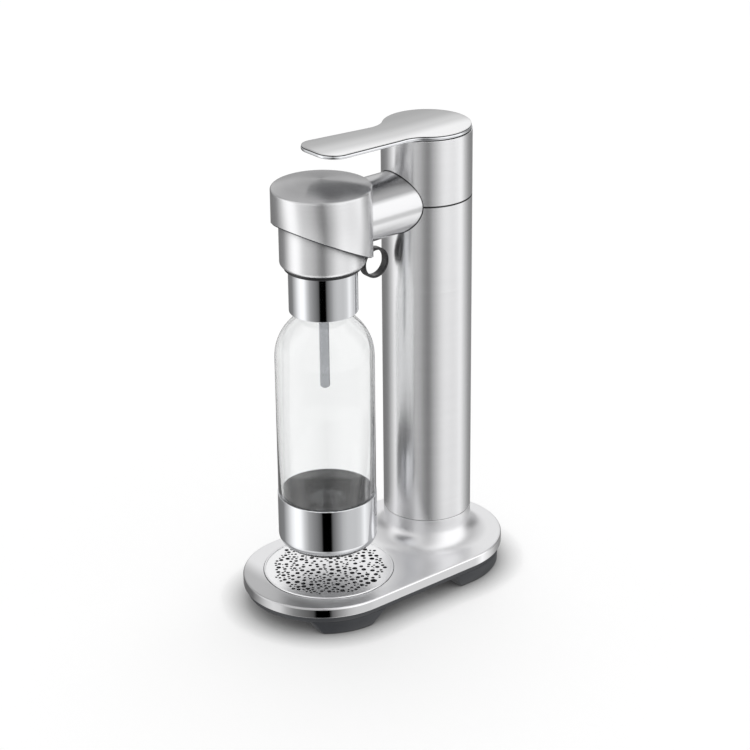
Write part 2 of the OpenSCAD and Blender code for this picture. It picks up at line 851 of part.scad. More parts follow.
module arm_tube() color("silver") {
    difference() {
        bar_y(arm_r, -head_y, arm_end, arm_z);
        bar_y(arm_r - arm_wall, -head_y - over, arm_end + over, arm_z);
        head_space(head_r + fit);
    }
}

module arm_gasket() color("black") {
    intersection() {
        difference() {
            bar_y(arm_r + arm_hole_gap - seat, -head_y, column_y, arm_z);
            bar_y(arm_r + fit, -head_y - over, column_y + over, arm_z);
        }
        translate([0, column_y, 0])
            tube_z(column_r - spacer_inset, column_in - seam_sleeve_t,
                arm_z - arm_r * 2, arm_z + arm_r * 2);
        bar_y(arm_r * 2, column_y - column_r, column_y - rod_r, arm_z);
    }
}

module at_arm_screws() {
    for (a = [45, 135, 225, 315])
        translate([arm_screw_circle * cos(a), 0, arm_screw_circle * sin(a)]) children();
}

module arm_core() color("lightslategray") {
    difference() {
        union() {
            bar_y(core_r, -head_y, arm_end, arm_z);
            bar_y(core_flange_r, arm_end - core_flange_t, arm_end, arm_z);
            bar_y(core_flange_r, -head_y, -head_y + head_r + over, arm_z);
        }
        bar_y(core_r - core_wall, -head_y - over, arm_end + over, arm_z);
        head_space(liner_out + fit);
        at_arm_screws() bar_y(screw_r + fit, arm_end - core_flange_t - over, arm_end + over, arm_z);
    }
}

module arm_screws() color("gray") {
    at_arm_screws() {
        bar_y(screw_head_r - gap, arm_end - core_flange_t - screw_head_h,
            arm_end - core_flange_t, arm_z);
        bar_y(screw_r, arm_end - core_flange_t, arm_end + yoke_t, arm_z);
    }
}

module gas_pipe() color("peru") {
    bar_y(pipe_r, pipe_bend_y, column_y - block_r + over * 2, pipe_z);
    translate([0, pipe_bend_y, pipe_z]) sphere(pipe_r);
    translate([0, pipe_bend_y, 0]) bar_z(pipe_r, pipe_z, pipe_up_z);
    translate([0, pipe_bend_y, pipe_up_z]) sphere(pipe_r);
    bar_y(pipe_r, -head_y + nozzle_r + seat, pipe_bend_y, pipe_up_z);
}

// Head: domed steel shroud with a slanted lower edge, and its dark lining
module head_section(inset) {
    ray = [corner_x, corner_z - dome_z] / (dome_r - rim_round);
    difference() {
        intersection() {
            translate([0, dome_z]) circle(dome_r - inset, $fn = 192);
            translate([0, slant_z - head_r]) square([head_r - inset, head_r * 3]);
        }
        polygon([
            [corner_x, corner_z], [head_r + rim_round, corner_z],
            [head_r + rim_round, corner_z + rim_round * 2],
            [corner_x, corner_z] + ray * rim_round * 2
        ]);
    }
    translate([corner_x, corner_z]) circle(rim_round - inset, $fn = 48);
}

module under_slant(drop) {
    translate([0, -head_y, slant_z - drop]) rotate([-slant, 0, 0])
        translate([-head_r * 2, -head_r * 2, -head_r * 4]) cube(head_r * 4);
}

module shroud() color("silver") {
    difference() {
        translate([0, -head_y, 0]) rotate_extrude() difference() {
            head_section(0);
            head_section(head_wall);
        }
        under_slant(0);
        bar_y(arm_r - arm_wall * 2, -head_y, arm_end, arm_z);
    }
}

module shroud_liner() color("dimgray") {
    difference() {
        union() {
            translate([0, -head_y, 0]) difference() {
                bar_z(liner_out, slant_z - head_r, ceiling_z + ceiling_t);
                bar_z(liner_in, slant_z - head_r - over, ceiling_z);
            }
            both_sides()
                bar_x(trunnion_boss_r, liner_in - trunnion_boss_h, liner_in + fit, -head_y, pivot_z);
        }
        under_slant(liner_show);
        bar_x(trunnion_r + fit, -head_r, head_r, -head_y, pivot_z);
        bar_y(core_r - core_wall, -head_y, column_y, arm_z);
        bar_y(pipe_r + fit, -head_y, column_y, pipe_z);
    }
}

module gas_nozzle() color("goldenrod") translate([0, -head_y, 0]) {
    difference() {
        bar_z(nozzle_r, nozzle_z, ceiling_z);
        bar_z(gas_hole_r, nozzle_z - over, pipe_up_z);
    }
}

// Cradle that swings in the head and carries the cap
module dock_cradle() color("gray") {
    difference() {
        union() {
            translate([0, -head_y, 0]) bar_z(cradle_r, cradle_z, cradle_top);
            bar_x(trunnion_r, -liner_out + gap, liner_out - gap, -head_y, pivot_z);
        }
        translate([0, -head_y, 0]) bar_z(stem_r + fit, cradle_z - over, cradle_top - over * 2);
        translate([0, -head_y, 0]) bar_z(gas_hole_r, cradle_z, cradle_top + over);
    }
}

module dock_seal() color("black") translate([0, -head_y, 0]) {
    tube_z(dock_seal_r, gas_hole_r + fit, cradle_top, cradle_top + dock_seal_t);
}

// Cap: steel shell, dark ring and chrome collar round a plastic body that takes the bottle's neck
module cap_shell() color("silver") translate([0, -head_y, 0]) {
    rotate_extrude() difference() {
        round_foot(cap_r, cap_z, cap_top, cap_round);
        round_foot(cap_r - cap_wall, cap_z + cap_wall, cap_top + over, cap_round - cap_wall);
        translate([0, cap_z - over]) square([collar_r + seat, cap_h]);
    }
}

module cap_body() color("dimgray") {
    difference() {
        translate([0, -head_y, 0]) {
            bar_z(hub_r, collar_z + seat, cap_top - seat);
            bar_z(cap_r - cap_wall - seat, cap_z + hub_rise, cap_top);
            bar_z(stem_r, cap_top - over, cradle_top - over * 2 - gap);
        }
        translate([0, -head_y, 0]) {
            bar_z(neck_bore_r, collar_z - over, neck_z + gap + cap_seal_t);
            bar_z(dip_r + fit, collar_z, neck_z + gap + cap_seal_t + dip_tuck);
            bar_z(gas_hole_r, collar_z, cradle_top);
        }
        bar_y(bush_r + fit, -head_y, loop_y, loop_z);
    }
}

module cap_ring() color("black") translate([0, -head_y, 0]) {
    tube_z(ring_r, collar_r + seat, cap_z - cap_ring_h, cap_z);
}

module cap_collar() color("gainsboro") {
    difference() {
        translate([0, -head_y, 0])
            tube_z(collar_r, collar_r - collar_wall, collar_z, cap_z + collar_tuck);
        bar_y(bush_r + fit, -head_y, loop_y, loop_z);
    }
}

module cap_seal() color("black") translate([0, -head_y, 0]) {
    tube_z(neck_r, neck_r - neck_wall, neck_z + gap, neck_z + gap + cap_seal_t);
}

module dip_tube() color("gainsboro") translate([0, -head_y, 0]) {
    difference() {
        union() {
            bar_z(dip_r, dip_z + dip_r, neck_z + gap + cap_seal_t + dip_tuck);
            translate([0, 0, dip_z + dip_r]) sphere(dip_r);
        }
        bar_z(dip_bore_r, dip_z - over, neck_z + gap + cap_seal_t + dip_tuck + over);
    }
}

// Pressure release: a ring on a rod that runs in a bush in the collar
module pull_ring() color("black") {
    difference() {
        bar_x(loop_r, -loop_w / 2, loop_w / 2, loop_y, loop_z);
        bar_x(loop_r - loop_t, -loop_w, loop_w, loop_y, loop_z);
    }
    bar_y(pull_rod_r, bush_y + pull_head_t, loop_y - loop_r + loop_t / 2, loop_z);
    bar_y(pull_head_r, bush_y, bush_y + pull_head_t, loop_z);
}

module release_bush() color("dimgray") {
    difference() {
        bar_y(bush_r, bush_y, -head_y + collar_r + bush_lip, loop_z);
        bar_y(pull_rod_r + fit, -head_y, loop_y, loop_z);
        bar_y(pull_head_r + fit, -head_y, -head_y + collar_r + bush_lip - bush_end_t, loop_z);
    }
}

module release_spring() color("gray") {
    difference() {
        bar_y(pull_head_r - fit, bush_y + pull_head_t + loop_pull + seat,
            -head_y + collar_r + bush_lip - bush_end_t - seat, loop_z);
        bar_y(pull_rod_r + fit, -head_y, loop_y, loop_z);
    }
}

// Bottle: clear body with a rounded shoulder, standing in a steel cup
module bottle_section(inset, neck_inset) {
    side = shoulder_r - inset;
    tangent = [shoulder_x + side / sqrt(2), shoulder_z + side / sqrt(2)];
    neck = neck_r - neck_inset;
    round_foot(bottle_low_r - inset, bottle_foot_z + inset, cup_rim_z + gap, bottle_foot_round - inset);
    translate([0, cup_rim_z + gap]) square([bottle_r - inset, shoulder_z - cup_rim_z - gap]);
    intersection() {
        translate([shoulder_x, shoulder_z]) circle(side);
        translate([0, shoulder_z]) square([bottle_r, tangent[1] - shoulder_z]);
    }
    polygon([
        [0, shoulder_z], tangent,
        [neck, tangent[1] + tangent[0] - neck], [0, tangent[1] + tangent[0] - neck]
    ]);
    translate([0, tangent[1]]) square([neck, neck_z - tangent[1]]);
}

module dent_section(r) {
    intersection() {
        translate([0, bottle_foot_z + dent_h - dent_r]) circle(r);
        translate([0, bottle_foot_z - over]) square([bottle_r, dent_r]);
    }
}

module bottle_body() color([0.85, 0.93, 0.96, 0.35]) translate([0, -head_y, 0]) {
    rotate_extrude() difference() {
        bottle_section(0, 0);
        difference() {
            union() {
                bottle_section(bottle_wall, neck_wall);
                translate([0, neck_z - over]) square([neck_r - neck_wall, over * 2]);
            }
            dent_section(dent_r + bottle_wall);
        }
        dent_section(dent_r);
    }
}

module bottle_cup() color("gainsboro") translate([0, -head_y, 0]) {
    rotate_extrude() difference() {
        round_foot(cup_r, cup_z, cup_rim_z, cup_round);
        round_foot(cup_r - cup_t, cup_z + cup_t, cup_rim_z + over, cup_round - cup_t);
    }
}

base_plate();
base_underside();
base_feet();
foot_pads();
base_screws();
drip_well();
drip_cup();
drip_grille();
grille_tabs();
cylinder_hatch();
hatch_pad();
inner_frame();
frame_screws();
base_seam_ring();
column_tube();
column_head();
seam_ring();
cylinder_body();
cylinder_valve();
valve_pin();
cylinder_seal();
valve_block();
safety_valve();
plunger();
plunger_spring();
rocker_arm();
rocker_pin();
lever_bracket();
lever_hinge_pin();
lever_lift_pin();
lever_spring();
lever_base();
lever_inlay();
lever_plate();
gas_pipe();
arm_tube();
arm_gasket();
arm_core();
arm_screws();
shroud();
shroud_liner();
gas_nozzle();
dock_cradle();
dock_seal();
cap_shell();
cap_body();
cap_ring();
cap_collar();
cap_seal();
dip_tube();
pull_ring();
release_bush();
release_spring();
bottle_body();
bottle_cup();
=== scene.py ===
# %% [markdown]
# # A sparkling water maker in brushed steel
# This lesson dresses a CAD model of a countertop carbonator for a studio picture. A bottle
# hangs from a round head, which a short arm joins to a column. The column stands on a long
# base with a drip tray. The CAD parts carry the sizes and the motion; this script adds the
# finish, the light and the shapes that only show up close.

# %% Load the frame
import math
import bmesh
import bpy
from mathutils import Matrix, Vector


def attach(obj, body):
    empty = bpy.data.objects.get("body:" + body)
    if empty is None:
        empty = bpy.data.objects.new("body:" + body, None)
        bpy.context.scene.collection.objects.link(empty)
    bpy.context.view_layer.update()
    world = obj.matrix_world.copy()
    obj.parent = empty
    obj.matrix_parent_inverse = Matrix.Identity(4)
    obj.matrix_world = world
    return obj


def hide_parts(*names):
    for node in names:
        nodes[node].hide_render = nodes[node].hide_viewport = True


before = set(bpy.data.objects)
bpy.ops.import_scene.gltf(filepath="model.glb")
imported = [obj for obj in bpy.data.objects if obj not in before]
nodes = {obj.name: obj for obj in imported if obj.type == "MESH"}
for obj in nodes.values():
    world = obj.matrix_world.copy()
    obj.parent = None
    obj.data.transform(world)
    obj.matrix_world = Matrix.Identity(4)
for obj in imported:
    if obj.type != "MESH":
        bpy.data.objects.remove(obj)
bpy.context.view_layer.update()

# %% [markdown]
# Everything is placed from a few measures of the machine. The CAD works in millimetres and
# Blender in metres, so one constant turns the one into the other. Two upright axes matter
# most: the bottle hangs on one, and the column stands on the other.

# %% Main measures
MM = 0.001
HEAD_Y = -54 * MM
COLUMN_Y = 65 * MM
ARM_Z = 363 * MM
scene = bpy.context.scene
print("head axis y", HEAD_Y, "column axis y", COLUMN_Y)

# %% [markdown]
# The camera looks down on the machine from its front right with a long lens, so upright
# edges stay nearly parallel. Its place and turn come from the fitted edges of the picture:
# 50 degrees round from the front and 24 degrees above the horizon. A lens of 112.6 mm on a
# 36 mm sensor gives the same narrow field.

# %% Camera
CAMERA_AZIMUTH = math.radians(50.342)
CAMERA_HEIGHT = math.radians(24.081)
CAMERA_ROLL = math.radians(-0.617)
CAMERA_PLACE = (1.4822, -1.2254, 1.0639)
SENSOR_WIDTH = 36
PICTURE_PIXELS = 750
FOCAL_PIXELS = 2346.26
VIEW_START, VIEW_END = 0.05, 50


def studio_camera():
    sin_a, cos_a = math.sin(CAMERA_AZIMUTH), math.cos(CAMERA_AZIMUTH)
    sin_h, cos_h = math.sin(CAMERA_HEIGHT), math.cos(CAMERA_HEIGHT)
    back = Vector((sin_a * cos_h, -cos_a * cos_h, sin_h))
    right = Vector((cos_a, sin_a, 0))
    up = back.cross(right)
    turned_right = math.cos(CAMERA_ROLL) * right + math.sin(CAMERA_ROLL) * up
    turned_up = back.cross(turned_right)
    data = bpy.data.cameras.new("studio_camera")
    data.sensor_width = SENSOR_WIDTH
    data.lens = FOCAL_PIXELS / PICTURE_PIXELS * SENSOR_WIDTH
    data.clip_start, data.clip_end = VIEW_START, VIEW_END
    camera = bpy.data.objects.new("studio_camera", data)
    scene.collection.objects.link(camera)
    turn = Matrix((turned_right, turned_up, back)).transposed().to_4x4()
    camera.matrix_world = Matrix.Translation(CAMERA_PLACE) @ turn
    return camera


scene.camera = studio_camera()
print("camera lens", round(scene.camera.data.lens, 1), "mm")

# %% [markdown]
# The world, the finishes and the Geometry Nodes below are all trees of nodes, built from the
# same few steps. Three helpers do them: one adds a node and fills its inputs, one adds a sum,
# and one adds a ramp of shades.

# %% Node helpers
WHITE = (1, 1, 1, 1)


def give(tree, socket, value):
    """Links a socket to another node's output, or sets it to a plain value."""
    if isinstance(value, bpy.types.NodeSocket):
        tree.links.new(value, socket)
    else:
        socket.default_value = value


def node_in(tree, kind, inputs=(), **settings):
    """Adds a node, makes its settings, and then gives each named input its link or value."""
    made = tree.nodes.new(kind)
    for name, value in settings.items():
        setattr(made, name, value)
    for name, value in dict(inputs).items():
        give(tree, made.inputs[name], value)
    return made


def math_node(tree, operation, *values, clamp=False):
    made = node_in(tree, "ShaderNodeMath", dict(enumerate(values)), operation=operation,
                   use_clamp=clamp)
    return made.outputs[0]


def ramp_node(tree, factor, stops, interpolation="EASE"):
    made = node_in(tree, "ShaderNodeValToRGB")
    made.color_ramp.interpolation = interpolation
    points = made.color_ramp.elements
    while len(points) < len(stops):
        points.new(0.5)
    for point, (position, value) in zip(points, stops):
        point.position = position
        shade = value if hasattr(value, "__len__") else (value, value, value)
        point.color = (*shade[:3], 1)
    tree.links.new(factor, made.inputs[0])
    return made.outputs[0]


print("node helpers ready for", bpy.app.version_string)

# %% [markdown]
# Metal shows its surroundings more than its own colour, so the world is the most important
# light here. Rays from the camera and through the bottle meet plain white. Rays that bounce
# off steel meet a ring of tall soft boxes and grey gaps round the machine. Rays that leave
# downwards, as they do from polished upright walls, meet a darker ring. Its one narrow black
# card draws the dark line down each tube. Matt surfaces get an even glow.

# %% World
# Brightness round the machine, in degrees to the right of the camera
STUDIO_RING = [
    (-180, 0.45), (-150, 0.2), (-133, 0.28), (-114, 0.42), (-100, 0.85), (-90, 1.3), (-75, 1.3),
    (-64, 1.15), (-54, 0.95), (-44, 0.95), (-34, 0.93), (-25, 0.84), (-16, 0.74), (-7, 0.6),
    (1, 0.4), (10, 0.62), (19, 0.76), (28, 0.96), (38, 1.18), (48, 1.3), (57, 1.28), (68, 1.2),
    (79, 1.3), (91, 1.3), (98, 1.1), (106, 0.6), (116, 0.3), (128, 0.22), (141, 0.18),
    (160, 0.28), (180, 0.45)]
MIRROR_RING = [
    (-180, 0.3), (-150, 0.2), (-123, 0.25), (-105, 0.62), (-90, 1.05), (-77, 1.3), (-65, 1.2),
    (-54, 0.72), (-43, 0.42), (-32, 0.3), (-22, 0.21), (-14, 0.12), (-10.5, 0.0), (8.5, 0.0),
    (13, 0.15), (20, 0.26), (28, 0.38), (37, 0.54), (48, 0.64), (59, 0.66), (70, 0.66),
    (83, 0.75), (97, 1.1), (113, 0.8), (134, 0.4), (150, 0.3), (180, 0.3)]
RING_PEAK = 1.3
# The mirror ring's band of heights, as stops of the ray's height raised by the shift
BAND_SHIFT = 0.55
BAND_STOPS = [(0, 1), (0.03, 0), (0.22, 0), (0.29, 1)]
# The ceiling lights faces that look up: it lies behind the machine and above the horizon
BEHIND_STOPS = [(0.1, 1), (0.22, 0), (0.78, 0), (0.9, 1)]
ABOVE_STOPS = [(0.03, 0), (0.2, 1)]
CEILING_LEVEL = 0.52
GLOW_LEVEL = 0.62


def studio_world():
    world = bpy.data.worlds.new("studio_world")
    scene.world = world
    world.use_nodes = True
    tree = world.node_tree
    tree.nodes.clear()
    place = node_in(tree, "ShaderNodeTexCoord")
    split = node_in(tree, "ShaderNodeSeparateXYZ", {0: place.outputs["Generated"]})
    turn = math_node(tree, "ARCTAN2", split.outputs[1], split.outputs[0])
    camera_turn = math.atan2(-math.cos(CAMERA_AZIMUTH), math.sin(CAMERA_AZIMUTH))
    shifted = math_node(tree, "SUBTRACT", turn, camera_turn)
    share = math_node(tree, "DIVIDE", shifted, 2 * math.pi)
    around = math_node(tree, "ADD", math_node(tree, "WRAP", share, 0.5, -0.5), 0.5)
    wide, narrow = [ramp_node(tree, around, [((a + 180) / 360, v / RING_PEAK) for a, v in ring],
                              "LINEAR") for ring in (STUDIO_RING, MIRROR_RING)]
    height = split.outputs[2]
    outside_band = ramp_node(tree, math_node(tree, "ADD", height, BAND_SHIFT), BAND_STOPS, "LINEAR")
    blend = node_in(tree, "ShaderNodeMix", {"Factor": outside_band, "A": narrow, "B": wide},
                    data_type="FLOAT")
    ceiling = math_node(tree, "MULTIPLY", ramp_node(tree, around, BEHIND_STOPS, "LINEAR"),
                        ramp_node(tree, height, ABOVE_STOPS, "LINEAR"))
    level = math_node(tree, "ADD", math_node(tree, "MULTIPLY", blend.outputs[0], RING_PEAK),
                      math_node(tree, "MULTIPLY", ceiling, CEILING_LEVEL))
    rays = node_in(tree, "ShaderNodeLightPath")
    passed = rays.outputs["Is Transmission Ray"]
    shone = math_node(tree, "GREATER_THAN", rays.outputs["Glossy Depth"], 0.5)
    through = math_node(tree, "SUBTRACT", passed, shone, clamp=True)
    seen = math_node(tree, "MAXIMUM", rays.outputs["Is Camera Ray"], through)
    glossy = math_node(tree, "MAXIMUM", rays.outputs["Is Glossy Ray"],
                       math_node(tree, "MULTIPLY", shone, passed))
    studio = node_in(tree, "ShaderNodeBackground", {0: level})
    glow = node_in(tree, "ShaderNodeBackground", {0: WHITE, 1: GLOW_LEVEL})
    white = node_in(tree, "ShaderNodeBackground", {0: WHITE})
    gloss_or_glow = node_in(tree, "ShaderNodeMixShader",
                            {0: glossy, 1: glow.outputs[0], 2: studio.outputs[0]})
    final = node_in(tree, "ShaderNodeMixShader",
                    {0: seen, 1: gloss_or_glow.outputs[0], 2: white.outputs[0]})
    node_in(tree, "ShaderNodeOutputWorld", {0: final.outputs[0]})


studio_world()
scene.view_settings.view_transform = "Standard"
print("ring stops:", len(STUDIO_RING), "wide and", len(MIRROR_RING), "for polished walls")

# %% [markdown]
# A wide soft sun overhead, a little to the left and behind, gives the floor the same light
# everywhere. The floor is a plain white sheet. Part of its brightness is its own, and it
# darkens close to the feet, which gives the short dark shadow that the machine stands in.
# From below it is clear, so that the underside can be looked at.

# %% Floor and lamp
FLOOR_REACH = 12
FLOOR_COLOUR = 0.62
FLOOR_GLOW = 0.42
SHADE_REACH = 0.03
SHADE_POWER = 1.1
SUN_FROM = (-0.5, 0.7, 1.9)
SUN_SPREAD = 50
SUN_POWER = 1.15
CLOSE_SAMPLES = 8


def soft_sun(name, come_from, spread_angle, power):
    data = bpy.data.lights.new(name, "SUN")
    data.angle = math.radians(spread_angle)
    data.energy = power
    lamp = bpy.data.objects.new(name, data)
    scene.collection.objects.link(lamp)
    lamp.rotation_euler = (-Vector(come_from)).to_track_quat("-Z", "Y").to_euler()
    lamp.visible_glossy = False
    return lamp


def floor_material():
    made = bpy.data.materials.new("floor_white")
    made.use_nodes = True
    tree = made.node_tree
    tree.nodes.clear()
    rays = node_in(tree, "ShaderNodeLightPath")
    corner = node_in(tree, "ShaderNodeAmbientOcclusion", {"Distance": SHADE_REACH},
                     samples=CLOSE_SAMPLES)
    close = math_node(tree, "POWER", corner.outputs["AO"], SHADE_POWER)
    matt = node_in(tree, "ShaderNodeBsdfDiffuse", {0: math_node(tree, "MULTIPLY", close, FLOOR_COLOUR)})
    seen = math_node(tree, "MAXIMUM", rays.outputs["Is Camera Ray"], rays.outputs["Is Transmission Ray"])
    glow = math_node(tree, "MULTIPLY", math_node(tree, "MULTIPLY", seen, FLOOR_GLOW), close)
    own = node_in(tree, "ShaderNodeEmission", {0: WHITE, 1: glow})
    both = node_in(tree, "ShaderNodeAddShader", {0: matt.outputs[0], 1: own.outputs[0]})
    side = node_in(tree, "ShaderNodeNewGeometry")
    clear = node_in(tree, "ShaderNodeBsdfTransparent")
    from_above = node_in(tree, "ShaderNodeMixShader",
                         {0: side.outputs["Backfacing"], 1: both.outputs[0], 2: clear.outputs[0]})
    node_in(tree, "ShaderNodeOutputMaterial", {0: from_above.outputs[0]})
    return made


def studio_floor():
    mesh = bpy.data.meshes.new("studio_floor")
    corners = [(x * FLOOR_REACH, y * FLOOR_REACH, 0) for x, y in ((-1, -1), (1, -1), (1, 1), (-1, 1))]
    mesh.from_pydata(corners, [], [(0, 1, 2, 3)])
    mesh.materials.append(floor_material())
    floor = bpy.data.objects.new("studio_floor", mesh)
    scene.collection.objects.link(floor)
    floor.visible_glossy = False
    return floor


studio_floor()
soft_sun("overhead_sun", SUN_FROM, SUN_SPREAD, SUN_POWER)

# %% [markdown]
# No real surface is even. Each finish below starts from a noise in the piece's own space, and
# lets it change the shine, the colour or the height a little, so the grain moves with the part.

# %% Noise, tint and grain
# A noise seldom leaves the middle half of its range, so that half is spread over the whole
NOISE_LOW, NOISE_HIGH = 0.25, 0.75


def principled(name):
    made = bpy.data.materials.new(name)
    made.use_nodes = True
    tree = made.node_tree
    return made, tree, tree.nodes["Principled BSDF"]


def noise_node(tree, scale, detail, roughness):
    """A noise in the piece's own space, squeezed by the scale along each axis."""
    place = node_in(tree, "ShaderNodeTexCoord")
    mapped = node_in(tree, "ShaderNodeMapping", {"Scale": scale, "Vector": place.outputs["Object"]},
                     vector_type="POINT")
    made = node_in(tree, "ShaderNodeTexNoise", {"Scale": 1, "Detail": detail, "Roughness": roughness,
                                                "Vector": mapped.outputs[0]})
    return made.outputs["Fac"]


def spread(tree, value, low, high):
    made = node_in(tree, "ShaderNodeMapRange", {
        "From Min": NOISE_LOW, "From Max": NOISE_HIGH, "To Min": low, "To Max": high, "Value": value})
    return made.outputs[0]


def tinted(tree, shader, pattern, colour, share):
    """Lets the colour wander with a pattern, by a share to either side."""
    tint = node_in(tree, "ShaderNodeMix", {
        "Factor": spread(tree, pattern, 0, 1),
        6: (*[c * (1 - share) for c in colour], 1),
        7: (*[min(1, c * (1 + share)) for c in colour], 1)}, data_type="RGBA")
    tree.links.new(tint.outputs[2], shader.inputs["Base Color"])


def bumped(tree, shader, pattern, strength, depth):
    bump = node_in(tree, "ShaderNodeBump", {"Strength": strength, "Distance": depth, "Height": pattern})
    tree.links.new(bump.outputs[0], shader.inputs["Normal"])


print("a noise from", NOISE_LOW, "to", NOISE_HIGH, "is spread over each finish's own range")

# %% [markdown]
# Steel mirrors its dark neighbours and lies in their shade, and some of that is painted into
# the steel's colour here: thin dark lines beside gaps, and painted shade and painted reflection
# over wider parts. One helper paints shade in bands along a direction. The other paints shade
# wherever another part stands close, and so stays right when that part moves away.

# %% Shade on steel
CLOSE_DARK, CLOSE_LIGHT = 0.55, 0.92


def darkened(made, shade):
    """Multiplies a steel's colour by a shade."""
    tree = made.node_tree
    colour = tree.nodes["Principled BSDF"].inputs["Base Color"]
    before = colour.links[0].from_socket if colour.links else colour.default_value
    darker = node_in(tree, "ShaderNodeMix", {"Factor": 1, 6: before, 7: shade}, data_type="RGBA",
                     blend_type="MULTIPLY")
    tree.links.new(darker.outputs[2], colour)
    return made


def shaded_along(made, way, stops):
    """Paints shade into a steel's colour in bands, along a direction given in the piece's own space."""
    tree = made.node_tree
    place = node_in(tree, "ShaderNodeTexCoord")
    along = node_in(tree, "ShaderNodeVectorMath", {0: place.outputs["Object"], 1: way},
                    operation="DOT_PRODUCT")
    low, high = stops[0][0], stops[-1][0]
    share = node_in(tree, "ShaderNodeMapRange",
                    {"From Min": low, "From Max": high, "Value": along.outputs["Value"]})
    bands = [((at - low) / (high - low), shade) for at, shade in stops]
    return darkened(made, ramp_node(tree, share.outputs[0], bands))


def shaded_close(made, reach):
    """Paints shade into a steel's colour where another part stands closer than the reach."""
    tree = made.node_tree
    corner = node_in(tree, "ShaderNodeAmbientOcclusion", {"Distance": reach}, samples=CLOSE_SAMPLES)
    share = node_in(tree, "ShaderNodeMapRange", {
        "From Min": CLOSE_DARK, "From Max": CLOSE_LIGHT, "Value": corner.outputs["AO"]})
    return darkened(made, share.outputs[0])


print("close shade runs from", CLOSE_DARK, "to", CLOSE_LIGHT, "of open sky")

# %% [markdown]
# Brushed steel is polished with a belt, which leaves short scratches in one direction. Here
# a noise is stretched along that direction and squeezed across it. It changes the roughness
# and the height a little, and the shine spreads across the scratches.

# %% Brushed steel
GRAIN_DEPTH = 0.003 * MM
GRAIN_STRENGTH = 0.1
FINER = 5
GRAIN_TURN = 0.25


def brushed_steel(name, scale, colour=(0.80, 0.80, 0.81), rough=(0.24, 0.28), anisotropy=0.8,
                  axis="Z", streak=0.032):
    made, tree, shader = principled(name)
    coarse = noise_node(tree, scale, 6.0, 0.65)
    fine = noise_node(tree, [s * FINER for s in scale], 3.0, 0.6)
    both = math_node(tree, "MULTIPLY_ADD", fine, 0.5, math_node(tree, "MULTIPLY", coarse, 0.5))
    tinted(tree, shader, both, colour, streak)
    tree.links.new(spread(tree, both, *rough), shader.inputs["Roughness"])
    shader.inputs["Metallic"].default_value = 1
    shader.inputs["Anisotropic"].default_value = anisotropy
    if anisotropy:
        grain_way = node_in(tree, "ShaderNodeTangent", direction_type="RADIAL", axis=axis)
        tree.links.new(grain_way.outputs[0], shader.inputs["Tangent"])
        shader.inputs["Anisotropic Rotation"].default_value = GRAIN_TURN
    bumped(tree, shader, both, GRAIN_STRENGTH, GRAIN_DEPTH)
    return made


# Painted shade: a narrow dark band on each side of the seam at the arm's height, for the shade in the gap
# between the two tubes.
steel_round = shaded_along(
    brushed_steel("steel_brushed_round", (9, 9, 700)), (0, 0, 1),
    [(0.35, 1), (0.3620, 1), (0.3624, 0.12), (0.3636, 0.12), (0.3640, 1), (0.37, 1)])
# Painted reflection and shade: a dark stripe along the arm's top, and a darker underside.
steel_arm = shaded_along(
    brushed_steel("steel_brushed_arm", (9, 700, 9), axis="Y"), (0, 0, 1),
    [(0.335, 0.8), (0.375, 1), (0.380, 0.45), (0.386, 0.4), (0.392, 0.75)])
steel_flat = brushed_steel("steel_satin_flat", (420, 420, 420), anisotropy=0.0, rough=(0.30, 0.40),
                           streak=0.03)
# Painted highlight and shade: a whiter steel that darkens across the lever's top from its edge towards +X to
# its edge towards -X.
steel_lever = shaded_along(
    brushed_steel("steel_brushed_lever", (700, 14, 14), colour=(0.99, 0.99, 1.0), anisotropy=0.0,
                  rough=(0.26, 0.34)),
    (1, 0, 0), [(-0.03, 0.4), (-0.012, 0.47), (0.008, 0.7), (0.024, 1.0)])
print("brushed finishes:", steel_round.name, steel_arm.name, steel_flat.name, steel_lever.name)

# %% [markdown]
# Polished steel is the same metal with almost no roughness. Faint smears, which change the
# roughness a little, keep it from looking like a perfect mirror.

# %% Polished steel
POLISH = (0.03, 0.08)


def polished_steel(name, colour=(0.80, 0.81, 0.83)):
    made, tree, shader = principled(name)
    smear = noise_node(tree, (35, 35, 12), 5.0, 0.55)
    tree.links.new(spread(tree, smear, *POLISH), shader.inputs["Roughness"])
    shader.inputs["Base Color"].default_value = (*colour, 1)
    shader.inputs["Metallic"].default_value = 1
    return made


steel_mirror = polished_steel("steel_mirror")
print("polished finish:", steel_mirror.name)

# %% [markdown]
# Moulded plastic has a fine spark-eroded grain, so a small noise goes to its height and a
# larger, softer one varies its shine a little.

# %% Plastics and rubber
MOULD_GRAIN = (1400, 1400, 1400)
MOULD_CLOUD = (60, 60, 60)
MOULD_TINT = 0.12
MOULD_STRENGTH = 0.4


def moulded(name, colour, rough, grain=0.03 * MM):
    made, tree, shader = principled(name)
    fine = noise_node(tree, MOULD_GRAIN, 2.0, 0.5)
    soft = noise_node(tree, MOULD_CLOUD, 4.0, 0.5)
    tinted(tree, shader, soft, colour, MOULD_TINT)
    tree.links.new(spread(tree, soft, *rough), shader.inputs["Roughness"])
    bumped(tree, shader, fine, MOULD_STRENGTH, grain)
    return made


plastic_dark = moulded("plastic_dark", (0.045, 0.048, 0.055), (0.38, 0.5))
plastic_gloss = moulded("plastic_gloss_black", (0.02, 0.02, 0.022), (0.16, 0.24), grain=0.005 * MM)
rubber_black = moulded("rubber_black", (0.018, 0.018, 0.018), (0.7, 0.85))
print("moulded finishes:", plastic_dark.name, plastic_gloss.name, rubber_black.name)

# %% [markdown]
# A few parts inside are other metals: a turned brass valve, an alloy cylinder, plated steel
# fittings and a drawn copper pipe. The recipe for brushed steel makes them all, with another
# colour, and with scratches that run the way each part was worked.

